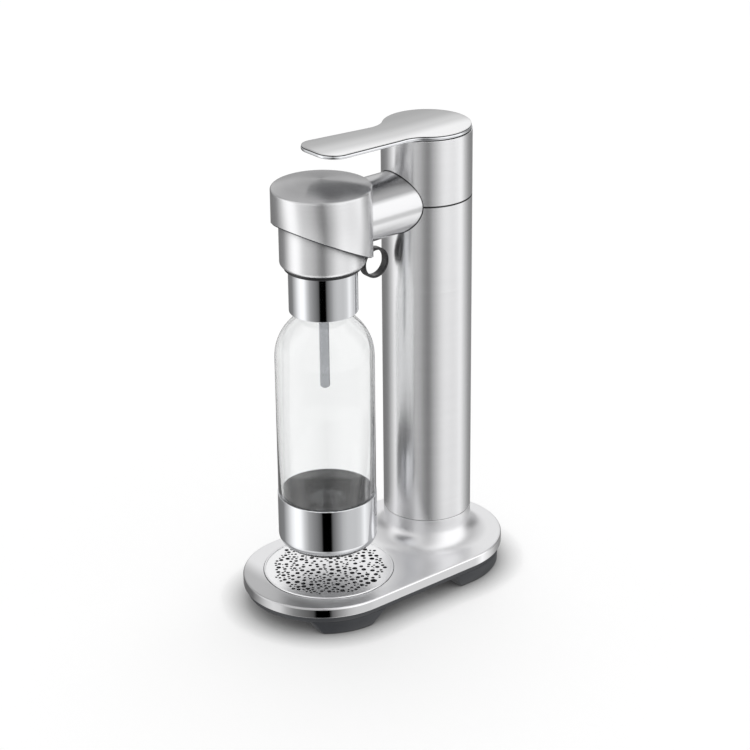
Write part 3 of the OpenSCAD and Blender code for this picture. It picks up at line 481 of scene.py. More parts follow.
# %% Other metals
brass_turned = brushed_steel("brass_turned", (20, 20, 1500), colour=(0.78, 0.58, 0.28), streak=0.05)
alloy_satin = brushed_steel("alloy_satin", (300, 300, 300), colour=(0.72, 0.73, 0.75),
                            anisotropy=0.0, rough=(0.3, 0.42), streak=0.04)
steel_plated = brushed_steel("steel_plated", (180, 180, 180), colour=(0.52, 0.54, 0.57),
                             anisotropy=0.0, rough=(0.32, 0.5), streak=0.08)
copper_drawn = brushed_steel("copper_drawn", (200, 60, 60), colour=(0.72, 0.40, 0.26),
                             anisotropy=0.0, rough=(0.2, 0.34), streak=0.08)
print("inner metals:", brass_turned.name, alloy_satin.name, steel_plated.name, copper_drawn.name)

# %% [markdown]
# The bottle is clear plastic. Light goes through it and bends as it does in plastic, and a
# little absorption inside the wall darkens the outline, where a ray stays in the wall longer.

# %% Clear plastic
PLASTIC_INDEX = 1.5
WALL_SHADE = (0.1, 0.1, 0.1, 1)
WALL_DENSITY = 22


def clear_plastic(name):
    made, tree, shader = principled(name)
    shader.inputs["Base Color"].default_value = (0.98, 0.985, 0.985, 1)
    shader.inputs["Transmission Weight"].default_value = 1
    shader.inputs["IOR"].default_value = PLASTIC_INDEX
    haze = noise_node(tree, (25, 25, 9), 4.0, 0.5)
    tree.links.new(spread(tree, haze, 0.0, 0.03), shader.inputs["Roughness"])
    body = node_in(tree, "ShaderNodeVolumeAbsorption", {"Color": WALL_SHADE, "Density": WALL_DENSITY})
    tree.links.new(body.outputs[0], tree.nodes["Material Output"].inputs["Volume"])
    return made


bottle_clear = clear_plastic("bottle_clear")
print("clear finish:", bottle_clear.name)

# %% [markdown]
# Most of this machine is turned on a lathe or swept round its base, so two small helpers do
# the main work. One rounds the corners of a section with short arcs, because a real edge is
# never sharp and catches a line of light. The other turns a section round an upright axis.

# %% Section and lathe helpers
SAME_POINT = 1e-7
ON_AXIS = 1e-6


def rounded(corners, steps=6, hold=0.1 * MM):
    """Points of a section whose corners are given as (across, up, rounding).

    One more point on each side of an arc keeps the flats beside it flat."""
    points = []
    count = len(corners)
    for i, (x, z, size) in enumerate(corners):
        corner = Vector((x, z))
        if size <= 0:
            points.append(corner)
            continue
        before = (Vector(corners[i - 1][:2]) - corner).normalized()
        after = (Vector(corners[(i + 1) % count][:2]) - corner).normalized()
        half = before.angle(after) / 2
        reach = size / math.tan(half)
        centre = corner + (before + after).normalized() * size / math.sin(half)
        start = (corner + before * reach - centre).normalized()
        end = (corner + after * reach - centre).normalized()
        points.append(corner + before * (reach + hold))
        for k in range(steps + 1):
            points.append(centre + size * start.slerp(end, k / steps))
        points.append(corner + after * (reach + hold))
    return [(p.x, p.y) for p in points]


def finished(name, bm, material, sharp=35):
    bmesh.ops.remove_doubles(bm, verts=bm.verts, dist=SAME_POINT)
    bmesh.ops.recalc_face_normals(bm, faces=bm.faces)
    mesh = bpy.data.meshes.new(name)
    bm.to_mesh(mesh)
    bm.free()
    mesh.shade_smooth()
    mesh.set_sharp_from_angle(angle=math.radians(sharp))
    mesh.materials.append(material)
    piece = bpy.data.objects.new(name, mesh)
    scene.collection.objects.link(piece)
    return piece


def turned(name, section, material, centre_y=0.0, steps=192, sharp=35):
    """A closed section of (radius, height) points turned once round the upright axis at centre_y."""
    bm = bmesh.new()
    rings = []
    for radius, height in section:
        if radius < ON_AXIS:
            rings.append([bm.verts.new((0, centre_y, height))] * steps)
            continue
        ring = []
        for k in range(steps):
            a = 2 * math.pi * k / steps
            ring.append(bm.verts.new((radius * math.sin(a), centre_y - radius * math.cos(a), height)))
        rings.append(ring)
    for lower, upper in zip(rings, rings[1:] + rings[:1]):
        for k in range(steps):
            n = (k + 1) % steps
            corners = []
            for v in (lower[k], lower[n], upper[n], upper[k]):
                if v not in corners:
                    corners.append(v)
            if len(corners) > 2:
                bm.faces.new(corners)
    return finished(name, bm, material, sharp)


def cut_away(piece, cutters, sharp=35):
    """Takes the cutters out of a piece and leaves a plain mesh."""
    for cutter in cutters:
        step = piece.modifiers.new("cut", "BOOLEAN")
        step.operation = "DIFFERENCE"
        step.solver = "EXACT"
        step.object = cutter
    bpy.context.view_layer.update()
    seen = piece.evaluated_get(bpy.context.evaluated_depsgraph_get())
    mesh = bpy.data.meshes.new_from_object(seen)
    piece.modifiers.clear()
    old = piece.data
    piece.data = mesh
    mesh.name = old.name
    bpy.data.meshes.remove(old)
    mesh.shade_smooth()
    mesh.set_sharp_from_angle(angle=math.radians(sharp))
    for cutter in cutters:
        bpy.data.objects.remove(cutter)
    return piece


def settle(piece, body, slot, *replaced):
    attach(piece, body)
    if replaced:
        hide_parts(*replaced)
    print(piece.name, len(piece.data.polygons), "faces on", body)
    return piece


CORNER_SAMPLE = [(0, 0, MM), (0, 9 * MM, 0), (9 * MM, 0, 0)]
print("one rounded corner takes", len(rounded(CORNER_SAMPLE)) - 2, "points")

# %% [markdown]
# The column is a rolled steel tube in two lengths. The arm goes in where they meet, so each
# length has half of a round hole, which a boolean cut makes from one long rod. The upper
# length's front rim is cut on a slant, where the lever comes down.

# %% Column
COLUMN_R = 40.5 * MM
COLUMN_WALL = 1.2 * MM
COLUMN_TOP = 423 * MM
NECK_TOP = 55.4 * MM
SPACER_T = 0.5 * MM
SEAM_HALF = 0.3 * MM
ARM_HOLE_R = 28.7 * MM
HOLE_FRONT, HOLE_BACK = 10 * MM, 62 * MM
HINGE_Y, HINGE_Z = 36 * MM, 417 * MM
HINGE = Vector((0, HINGE_Y, HINGE_Z))
LEVER_STROKE = 9
RELIEF_R, RELIEF_H, RELIEF_RISE = 60 * MM, 90 * MM, 6 * MM


def tube_section(outer, wall, low, high, edge=0.35 * MM):
    inner = outer - wall
    return rounded([(outer, low, edge), (outer, high, edge), (inner, high, edge), (inner, low, edge)], 3)


def rod(name, radius, start, end, steps=96):
    start, end = Vector(start), Vector(end)
    mesh = bpy.data.meshes.new(name)
    bm = bmesh.new()
    bmesh.ops.create_cone(bm, cap_ends=True, segments=steps, radius1=radius, radius2=radius,
                          depth=(end - start).length)
    turn = (end - start).to_track_quat("Z", "Y").to_matrix().to_4x4()
    bmesh.ops.transform(bm, matrix=Matrix.Translation((start + end) / 2) @ turn, verts=bm.verts)
    bm.to_mesh(mesh)
    bm.free()
    made = bpy.data.objects.new(name, mesh)
    scene.collection.objects.link(made)
    return made


def lever_relief():
    """A square bar, made as a rod of four sides, that clears the room of the pressed lever."""
    made = rod("lever_relief", RELIEF_R, (0, 0, 0), (0, 0, RELIEF_H), 4)
    shift = Matrix.Translation(HINGE) @ Matrix.Rotation(math.radians(LEVER_STROKE), 4, "X")
    place = Matrix.Translation((0, -RELIEF_R * math.cos(math.pi / 4), RELIEF_RISE))
    made.data.transform(shift @ place @ Matrix.Rotation(math.pi / 4, 4, "Z"))
    return made


def arm_hole():
    return rod("arm_hole", ARM_HOLE_R, (0, HOLE_FRONT, ARM_Z), (0, HOLE_BACK, ARM_Z), 160)


def column_pieces():
    lower = turned("column_lower_tube",
                   tube_section(COLUMN_R, COLUMN_WALL, NECK_TOP + SPACER_T, ARM_Z - SEAM_HALF),
                   steel_round, COLUMN_Y, 256)
    cut_away(lower, [arm_hole()])
    upper = turned("column_upper_tube",
                   tube_section(COLUMN_R, COLUMN_WALL, ARM_Z + SEAM_HALF, COLUMN_TOP),
                   steel_round, COLUMN_Y, 256)
    cut_away(upper, [arm_hole(), lever_relief()])
    settle(lower, "stand", "brushed_shell", "column_tube")
    settle(upper, "stand", "brushed_shell", "column_head")


column_pieces()

# %% [markdown]
# The head is a spun steel cap: a shallow dome, a small rounded rim and a straight side that
# ends on a slant, lower at the back than at the front. It is turned as a thin shell first and
# then cut with a tilted block, and a small bevel takes the sharpness off the cut.

# %% Head
HEAD_R = 43.9 * MM
HEAD_WALL = 1.2 * MM
HEAD_FOOT = 315 * MM
HEAD_EDGE = 0.3 * MM
RIM_Z = 396 * MM
RIM_ROUND, RIM_ROUND_IN = 2 * MM, 0.8 * MM
DOME_EDGE, DOME_EDGE_IN = 3 * MM, 4.2 * MM
DOME_RISE = 7 * MM
DOME_R = (HEAD_R ** 2 + DOME_RISE ** 2) / (2 * DOME_RISE)
DOME_Z = RIM_Z + DOME_RISE - DOME_R
SLANT = 25.8
SLANT_Z = 347.5 * MM
BLOCK_R = 130 * MM
# Painted shade: the dome darkens from its rim to its top.
steel_head = shaded_along(brushed_steel("steel_brushed_head", (9, 9, 700), anisotropy=0.9), (0, 0, 1),
                          [(0.3, 1), (0.3945, 1), (0.3965, 0.62), (0.4, 0.52), (0.403, 0.42)])


def soften(piece, width, segments=2, angle=50, sharp=40):
    """Bevels the edges that a cut left sharp, and makes the result plain."""
    step = piece.modifiers.new("soften", "BEVEL")
    step.width = width
    step.segments = segments
    step.limit_method = "ANGLE"
    step.angle_limit = math.radians(angle)
    return cut_away(piece, [], sharp)


def arch_points(radius, centre_z, reach, count, last=False):
    """Points on the top of a circle, from its crown outwards, with or without the last one."""
    across = [reach * k / count for k in range(count + last)]
    return [(x, centre_z + math.sqrt(radius ** 2 - x ** 2), 0) for x in across]


def slanted_block():
    """A square bar, tilted as the head's lower edge is, that cuts off all below it."""
    made = rod("slant", BLOCK_R, (0, 0, -BLOCK_R), (0, 0, 0), 4)
    place = Matrix.Translation((0, HEAD_Y, SLANT_Z)) @ Matrix.Rotation(math.radians(-SLANT), 4, "X")
    made.data.transform(place @ Matrix.Rotation(math.pi / 4, 4, "Z"))
    return made


def head_pieces():
    inner = HEAD_R - HEAD_WALL
    outside = arch_points(DOME_R, DOME_Z, HEAD_R - DOME_EDGE, 26)
    outside += [(HEAD_R, RIM_Z, RIM_ROUND), (HEAD_R, HEAD_FOOT, 0)]
    inside = arch_points(DOME_R - HEAD_WALL, DOME_Z, HEAD_R - DOME_EDGE_IN, 26)
    inside += [(inner, RIM_Z - HEAD_WALL, RIM_ROUND_IN), (inner, HEAD_FOOT, 0)]
    shell = turned("head_shell", rounded(outside + inside[::-1], 8), steel_head, HEAD_Y, 256)
    cut_away(shell, [slanted_block()])
    soften(shell, HEAD_EDGE)
    settle(shell, "stand", "brushed_shell", "shroud")


head_pieces()

# %% [markdown]
# The cap under the head belongs to the bottle. Its steel shell has a generous lower corner,
# a dark ring closes it, and a polished collar comes out below. All are turned, and the collar
# gets a hole at the back for the pressure release.

# %% Cap and collar
CAP_R = 37.6 * MM
CAP_WALL = 1.2 * MM
CAP_Z = 326 * MM
CAP_TOP = 371.9 * MM
CAP_ROUND, CAP_ROUND_IN, CAP_EDGE = 3.5 * MM, 2.3 * MM, 0.3 * MM
CAP_SHADE_REACH = 11 * MM
RING_R = 34 * MM
RING_H = 3.3 * MM
RING_ROUND, RING_ROUND_IN = 0.6 * MM, 0.2 * MM
COLLAR_R = 30.4 * MM
COLLAR_WALL = 1.1 * MM
COLLAR_Z = 283 * MM
COLLAR_RISE = 4 * MM
COLLAR_GAP, COLLAR_EDGE = 0.1 * MM, 0.4 * MM
RELEASE_Z = 312.5 * MM
RELEASE_HOLE_R = 4.05 * MM
RELEASE_NEAR, RELEASE_FAR = HEAD_Y + 10 * MM, HEAD_Y + 60 * MM
TUBE_R, TUBE_BORE = 4.4 * MM, 1.5 * MM
TUBE_LOW, TUBE_TOP = 209.5 * MM, 332 * MM
TUBE_EDGE, TUBE_BORE_EDGE, TUBE_TIP = 0.3 * MM, 0.2 * MM, 2.2 * MM
# Painted shade: the cap's steel darkens where the head's slanted edge and other parts stand close, for the
# shadow under the head.
steel_cap = shaded_close(brushed_steel("steel_brushed_cap", (9, 9, 700)), CAP_SHADE_REACH)
# Painted shade: the dip tube is a darker steel than the others, for the dim surroundings it mirrors through
# the bottle.
steel_tube = polished_steel("steel_tube", colour=(0.42, 0.43, 0.45))


def cap_pieces():
    inner, floor, hole = CAP_R - CAP_WALL, CAP_Z + CAP_WALL, COLLAR_R + COLLAR_GAP
    shell = turned("cap_shell_steel", rounded([
        (CAP_R, CAP_TOP, CAP_EDGE), (inner, CAP_TOP, CAP_EDGE), (inner, floor, CAP_ROUND_IN),
        (hole, floor, 0), (hole, CAP_Z, 0), (CAP_R, CAP_Z, CAP_ROUND)], 8), steel_cap, HEAD_Y, 224)
    settle(shell, "cap", "brushed_shell", "cap_shell")
    ring_low = CAP_Z - RING_H
    ring = turned("cap_dark_ring", rounded([
        (RING_R, CAP_Z, 0), (hole, CAP_Z, 0), (hole, ring_low, RING_ROUND_IN),
        (RING_R, ring_low, RING_ROUND)], 4), plastic_gloss, HEAD_Y, 192)
    settle(ring, "cap", "black_gloss", "cap_ring")
    collar = turned("cap_collar_steel",
                    tube_section(COLLAR_R, COLLAR_WALL, COLLAR_Z, CAP_Z + COLLAR_RISE, COLLAR_EDGE),
                    steel_mirror, HEAD_Y, 224)
    cut_away(collar, [rod("release_hole", RELEASE_HOLE_R, (0, RELEASE_NEAR, RELEASE_Z),
                          (0, RELEASE_FAR, RELEASE_Z), 48)])
    settle(collar, "cap", "mirror_steel", "cap_collar")
    tube = turned("gas_tube", rounded([
        (TUBE_R, TUBE_TOP, TUBE_EDGE), (TUBE_BORE, TUBE_TOP, TUBE_BORE_EDGE),
        (TUBE_BORE, TUBE_LOW, TUBE_EDGE), (TUBE_R, TUBE_LOW, TUBE_TIP)], 6), steel_tube, HEAD_Y, 64)
    settle(tube, "cap", "mirror_steel", "dip_tube")


cap_pieces()

# %% [markdown]
# The pressure release is a flat band bent into a ring. It is turned round its own axis like
# the other round pieces and then laid on its side, and its short stem is a plain turned pin
# with a collar where it meets the band.

# %% Release ring
BAND_R, BAND_IN = 14 * MM, 11.8 * MM
BAND_HALF = 4 * MM
BAND_ROUND = 0.9 * MM
BAND_Y = 3.5 * MM
STEM_Y = HEAD_Y + 21.2 * MM
STEM_HEAD_R, STEM_R, STEM_FOOT_R = 2.9 * MM, 1.9 * MM, 3.2 * MM
STEM_HEAD, STEM_NECK, STEM_FOOT, STEM_END = 1 * MM, 21.5 * MM, 23.2 * MM, 23.6 * MM
STEM_EDGE, STEM_NECK_ROUND, STEM_FOOT_ROUND = 0.2 * MM, 1.2 * MM, 0.8 * MM


def laid_on(piece, way):
    """Turns a finished round piece so that its upright axis lies along X or Y."""
    piece.data.transform(Matrix.Rotation(math.radians(90), 4, "Y" if way == "X" else "X"))
    return piece


def release_pieces():
    band = laid_on(turned("release_band", rounded([
        (BAND_R, -BAND_HALF, BAND_ROUND), (BAND_R, BAND_HALF, BAND_ROUND),
        (BAND_IN, BAND_HALF, BAND_ROUND), (BAND_IN, -BAND_HALF, BAND_ROUND)], 5),
        plastic_gloss, 0, 128), "X")
    band.data.transform(Matrix.Translation((0, BAND_Y, RELEASE_Z)))
    stem = laid_on(turned("release_stem", rounded([
        (0, 0, 0), (STEM_HEAD_R, 0, STEM_EDGE), (STEM_HEAD_R, STEM_HEAD, STEM_EDGE),
        (STEM_R, STEM_HEAD, 0), (STEM_R, STEM_NECK, STEM_NECK_ROUND),
        (STEM_FOOT_R, STEM_FOOT, STEM_FOOT_ROUND), (STEM_FOOT_R, STEM_END, 0), (0, STEM_END, 0)], 4),
        plastic_gloss, 0, 48), "Y")
    stem.data.transform(Matrix.Scale(-1, 4, (0, 1, 0)))
    stem.data.flip_normals()
    stem.data.transform(Matrix.Translation((0, STEM_Y, RELEASE_Z)))
    settle(band, "release_ring", "black_gloss", "pull_ring")
    settle(stem, "release_ring", "black_gloss")


release_pieces()

# %% [markdown]
# The bottle is blown from clear plastic: a straight side, a rounded shoulder, a steep neck
# and a pushed-up floor. It is turned as one closed shell with a real wall, so that light
# bends at both of its skins and the outline darkens by itself. The steel cup is turned too.

# %% Bottle and its cup
BOTTLE_R = 44.1 * MM
BOTTLE_WALL = 1.8 * MM
FOOT_R = 43.6 * MM
FOOT_Z = 58.6 * MM
FOOT_ROUND = 8.9 * MM
STEP_LOW, STEP_HIGH = 106.9 * MM, 107.5 * MM
NECK_R = 19 * MM
NECK_WALL = 2.2 * MM
NECK_Z = 318 * MM
NECK_BEND, NECK_EDGE = 1.5 * MM, 0.5 * MM
SHOULDER_R = 45 * MM
SHOULDER_Z = 238.96 * MM
SHOULDER_TURN = 45
SHOULDER_COUNT = 20
DENT_R = 60 * MM
DENT_Z = FOOT_Z - 51 * MM
DENT_REACH = 31.2 * MM
DENT_COUNT = 14
CUP_R, CUP_IN = 44.7 * MM, 43.7 * MM
CUP_Z, CUP_FLOOR, CUP_TOP = 57.5 * MM, 58.5 * MM, 107 * MM
CUP_ROUND, CUP_ROUND_IN, CUP_EDGE = 10 * MM, 9 * MM, 0.4 * MM
# Painted shade: the cup darkens towards its rounded bottom, for the shade beneath it.
steel_cup = shaded_along(polished_steel("steel_cup"), (0, 0, 1),
                         [(0.057, 0.3), (0.061, 0.35), (0.065, 0.75), (0.069, 1), (0.11, 1)])


def shoulder_points(inset):
    side = SHOULDER_R - inset
    centre = BOTTLE_R - SHOULDER_R
    turns = [math.radians(SHOULDER_TURN * k / SHOULDER_COUNT) for k in range(SHOULDER_COUNT + 1)]
    return [(centre + side * math.cos(a), SHOULDER_Z + side * math.sin(a), 0) for a in turns]


def bottle_side(inset, neck_inset):
    """One skin of the bottle from its foot to its mouth, set in from the outside."""
    shoulder = shoulder_points(inset)
    slope_x, slope_z, _ = shoulder[-1]
    foot, neck = FOOT_R - inset, NECK_R - neck_inset
    return ([(foot, FOOT_Z + inset, FOOT_ROUND - inset), (foot, STEP_LOW, 0),
             (BOTTLE_R - inset, STEP_HIGH, 0)] + shoulder
            + [(neck, slope_z + slope_x - neck, NECK_BEND), (neck, NECK_Z, NECK_EDGE)])


def bottle_pieces():
    outside = arch_points(DENT_R, DENT_Z, DENT_REACH, DENT_COUNT, True) + bottle_side(0, 0)
    inside = (arch_points(DENT_R + BOTTLE_WALL, DENT_Z, DENT_REACH, DENT_COUNT, True)
              + bottle_side(BOTTLE_WALL, NECK_WALL))
    body = turned("bottle_clear_body", rounded(outside + inside[::-1], 6), bottle_clear, HEAD_Y, 224, 60)
    settle(body, "bottle", "clear_plastic", "bottle_body")
    cup = turned("bottle_steel_cup", rounded([
        (0, CUP_Z, 0), (CUP_R, CUP_Z, CUP_ROUND), (CUP_R, CUP_TOP, CUP_EDGE), (CUP_IN, CUP_TOP, CUP_EDGE),
        (CUP_IN, CUP_FLOOR, CUP_ROUND_IN), (0, CUP_FLOOR, 0)], 12), steel_cup, HEAD_Y, 224)
    settle(cup, "bottle", "mirror_steel", "bottle_cup")


bottle_pieces()

# %% [markdown]
# The arm is a short tube that lies along Y between head and column. It is turned upright like
# the rest and laid down. Its front end is cut to the head's round side, so the two meet
# without a gap.

# %% Arm
ARM_R = 28 * MM
ARM_WALL = 1.5 * MM
ARM_FRONT, ARM_BACK = -26 * MM, 38 * MM
ARM_EDGE = 0.2 * MM
HEAD_CLEAR = 0.05 * MM
CUT_LOW, CUT_HIGH = 300 * MM, 420 * MM


def arm_piece():
    tube = turned("arm_steel_tube", tube_section(ARM_R, ARM_WALL, ARM_FRONT, ARM_BACK, ARM_EDGE),
                  steel_arm, 0, 192)
    tube.data.transform(Matrix.Rotation(math.radians(-90), 4, "X"))
    tube.data.transform(Matrix.Translation((0, 0, ARM_Z)))
    cut_away(tube, [rod("head_side", HEAD_R + HEAD_CLEAR, (0, HEAD_Y, CUT_LOW), (0, HEAD_Y, CUT_HIGH), 256)])
    settle(tube, "stand", "brushed_shell", "arm_tube")


arm_piece()

# %% [markdown]
# The base is one pressed sheet: a long plate with round ends, a rolled edge and a flared neck
# for the column. The edge is a section swept round the outline, and the flare is a turned
# section. The flat top between them is filled last, with a hole left open for the tray.

# %% Base plate
BASE_R = 73.5 * MM
END_Y = 60 * MM
BASE_TOP = 28 * MM
SKIRT_Z = 18.5 * MM
PLATE_T = 1.5 * MM
UNDER_Z = BASE_TOP - PLATE_T
EDGE_LAND, EDGE_LAND_IN = 8 * MM, 6 * MM
EDGE_ROUND, EDGE_ROUND_IN, HEM_ROUND = 1.7 * MM, 0.6 * MM, 0.35 * MM
FLARE_X, FLARE_Z, FLARE_R = 57.5 * MM, 45 * MM, 17 * MM
FLARE_FOOT = 58.5 * MM
FLARE_COUNT = 22
NECK_LIP = [(40.5 * MM, 55.1 * MM), (40.2 * MM, 55.4 * MM), (39 * MM, 55.4 * MM)]
TRAY_LIP = [(60.2 * MM, BASE_TOP), (59.9 * MM, BASE_TOP - 0.06 * MM),
            (59.68 * MM, BASE_TOP - 0.25 * MM), (59.6 * MM, BASE_TOP - 0.5 * MM), (59.6 * MM, UNDER_Z)]
BOSS_R, BOSS_BORE = 3.2 * MM, 1.55 * MM
BOSS_LOW, BOSS_HIGH = 20.6 * MM, UNDER_Z + 0.3 * MM
SCREW_SPOTS = [(x * MM, y * MM) for x, y in
               [(66, 6), (-66, 6), (28, 120), (-28, 120), (28, -120), (-28, -120)]]
# Satin on top and polished round the edge, with the change just below the top
POLISHED_Z, SATIN_Z = BASE_TOP - 1.1 * MM, BASE_TOP - 0.3 * MM
EDGE_SHINE, TOP_SHINE, SHINE_CHANGE = 0.03, 0.34, 0.02


def ring_points(radius, centre_y, height, steps=160):
    turns = [2 * math.pi * k / steps for k in range(steps)]
    return [(radius * math.sin(a), centre_y - radius * math.cos(a), height) for a in turns]


def stadium_points(radius, height, steps=96):
    """The base's outline: half a circle round each end, and straight sides between them."""
    points = []
    for side in (-1, 1):
        for k in range(steps + 1):
            a = math.pi * k / steps
            points.append((-side * radius * math.cos(a), side * (END_Y + radius * math.sin(a)), height))
    return points


def loops_into(bm, loops, closed=False):
    """Joins point loops of equal count with quads; gives back the first and last ring."""
    rings = [[bm.verts.new(p) for p in points] for points in loops]
    pairs = list(zip(rings, rings[1:]))
    if closed:
        pairs.append((rings[-1], rings[0]))
    for lower, upper in pairs:
        for k in range(len(lower)):
            n = (k + 1) % len(lower)
            bm.faces.new((lower[k], lower[n], upper[n], upper[k]))
    return rings[0], rings[-1]


def fill_between(bm, rings):
    """A flat face with holes between vertex rings."""
    edges = []
    for ring in rings:
        for a, b in zip(ring, ring[1:] + ring[:1]):
            edges.append(bm.edges.get((a, b)) or bm.edges.new((a, b)))
    bmesh.ops.triangle_fill(bm, edges=edges, use_beauty=True, normal=(0, 0, 1))


def base_steel():
    """The roughness follows the height on the piece."""
    made, tree, shader = principled("steel_base")
    fine = noise_node(tree, (500, 500, 500), 4.0, 0.6)
    place = node_in(tree, "ShaderNodeTexCoord")
    split = node_in(tree, "ShaderNodeSeparateXYZ", {0: place.outputs["Object"]})
    height = node_in(tree, "ShaderNodeMapRange", {
        "From Min": POLISHED_Z, "From Max": SATIN_Z, "To Min": EDGE_SHINE, "To Max": TOP_SHINE,
        "Value": split.outputs[2]})
    change = spread(tree, fine, -SHINE_CHANGE, SHINE_CHANGE)
    tree.links.new(math_node(tree, "ADD", height.outputs[0], change), shader.inputs["Roughness"])
    shader.inputs["Base Color"].default_value = (0.86, 0.86, 0.87, 1)
    shader.inputs["Metallic"].default_value = 1
    return made


def base_cover():
    inner = BASE_R - PLATE_T
    bm = bmesh.new()
    side = rounded([
        (BASE_R - EDGE_LAND, BASE_TOP, 0), (BASE_R, BASE_TOP, EDGE_ROUND), (BASE_R, SKIRT_Z, HEM_ROUND),
        (inner, SKIRT_Z, HEM_ROUND), (inner, UNDER_Z, EDGE_ROUND_IN), (inner - EDGE_LAND_IN, UNDER_Z, 0)], 8)
    edge_top, edge_under = loops_into(bm, [stadium_points(r, z) for r, z in side])
    arc = [math.radians(270 - 90 * k / FLARE_COUNT) for k in range(FLARE_COUNT + 1)]
    under_r = FLARE_R + PLATE_T
    neck = [(FLARE_FOOT, BASE_TOP)]
    neck += [(FLARE_X + FLARE_R * math.cos(a), FLARE_Z + FLARE_R * math.sin(a)) for a in arc]
    neck += NECK_LIP
    neck += [(FLARE_X + under_r * math.cos(a), FLARE_Z + under_r * math.sin(a)) for a in arc[::-1]]
    neck += [(FLARE_FOOT, UNDER_Z)]
    neck_top, neck_under = loops_into(bm, [ring_points(r, COLUMN_Y, z, 256) for r, z in neck])
    tray_top, tray_under = loops_into(bm, [ring_points(r, HEAD_Y, z, 224) for r, z in TRAY_LIP])
    fill_between(bm, [edge_top, neck_top, tray_top])
    fill_between(bm, [edge_under, neck_under, tray_under])
    boss = [(BOSS_R, BOSS_HIGH), (BOSS_R, BOSS_LOW), (BOSS_BORE, BOSS_LOW), (BOSS_BORE, BOSS_HIGH)]
    for x, y in SCREW_SPOTS:
        loops_into(bm, [[(x + px, y + py, z) for px, py, z in ring_points(r, 0, z, 32)]
                        for r, z in boss], True)
    cover = finished("base_cover", bm, steel_base)
    settle(cover, "stand", "brushed_shell", "base_plate")


# Painted reflection and shade: the base's steel is darker at its front end, round the front of the tray.
steel_base = shaded_along(base_steel(), (0, 1, 0),
                          [(-0.134, 0.6), (-0.118, 0.6), (-0.098, 1), (0.134, 1)])
base_cover()

# %% [markdown]
# The grille is a thin disc with a scatter of holes in two sizes. A Geometry Nodes tree draws
# it: large circles on a loose scatter, small circles that shrink to fit between them, one
# outer circle, then a fill that leaves every inner circle open, and last a thickness.

# %% Drip grille
# Each size of the grille with its default and its least value
GRILLE_SIZES = [
    ("Outer Radius", 58.4 * MM, 10 * MM), ("Field Radius", 52.5 * MM, 10 * MM),
    ("Large Spacing", 6.1 * MM, 2 * MM), ("Large Radius", 2.4 * MM, 1 * MM),
    ("Small Spacing", 3.0 * MM, 1 * MM), ("Web", 0.8 * MM, 0.2 * MM),
    ("Thickness", 0.9 * MM, 0.2 * MM)]
GRILLE_SEED = 4
LEAST_SHARE, MOST_SHARE = 0.62, 1.0
CROWDED = 1.9
SMALLEST_R = 0.45 * MM
POINT_DENSITY = 900000
MERGE_REACH = 1e-6
GRILLE_Z = 27.25 * MM
BEAD_R, BEAD_Z, BEAD_SIZE = 58.4 * MM, 28.1 * MM, 0.9 * MM
steel_grille = brushed_steel("steel_grille", (500, 500, 500), colour=(0.97, 0.97, 0.98),
                             anisotropy=0.0, rough=(0.28, 0.36), streak=0.02)


def group_input(tree, name, kind, value, low=None):
    socket = tree.interface.new_socket(name=name, in_out="INPUT", socket_type=kind)
    socket.default_value = value
    if low is not None:
        socket.min_value = low
    return socket.identifier


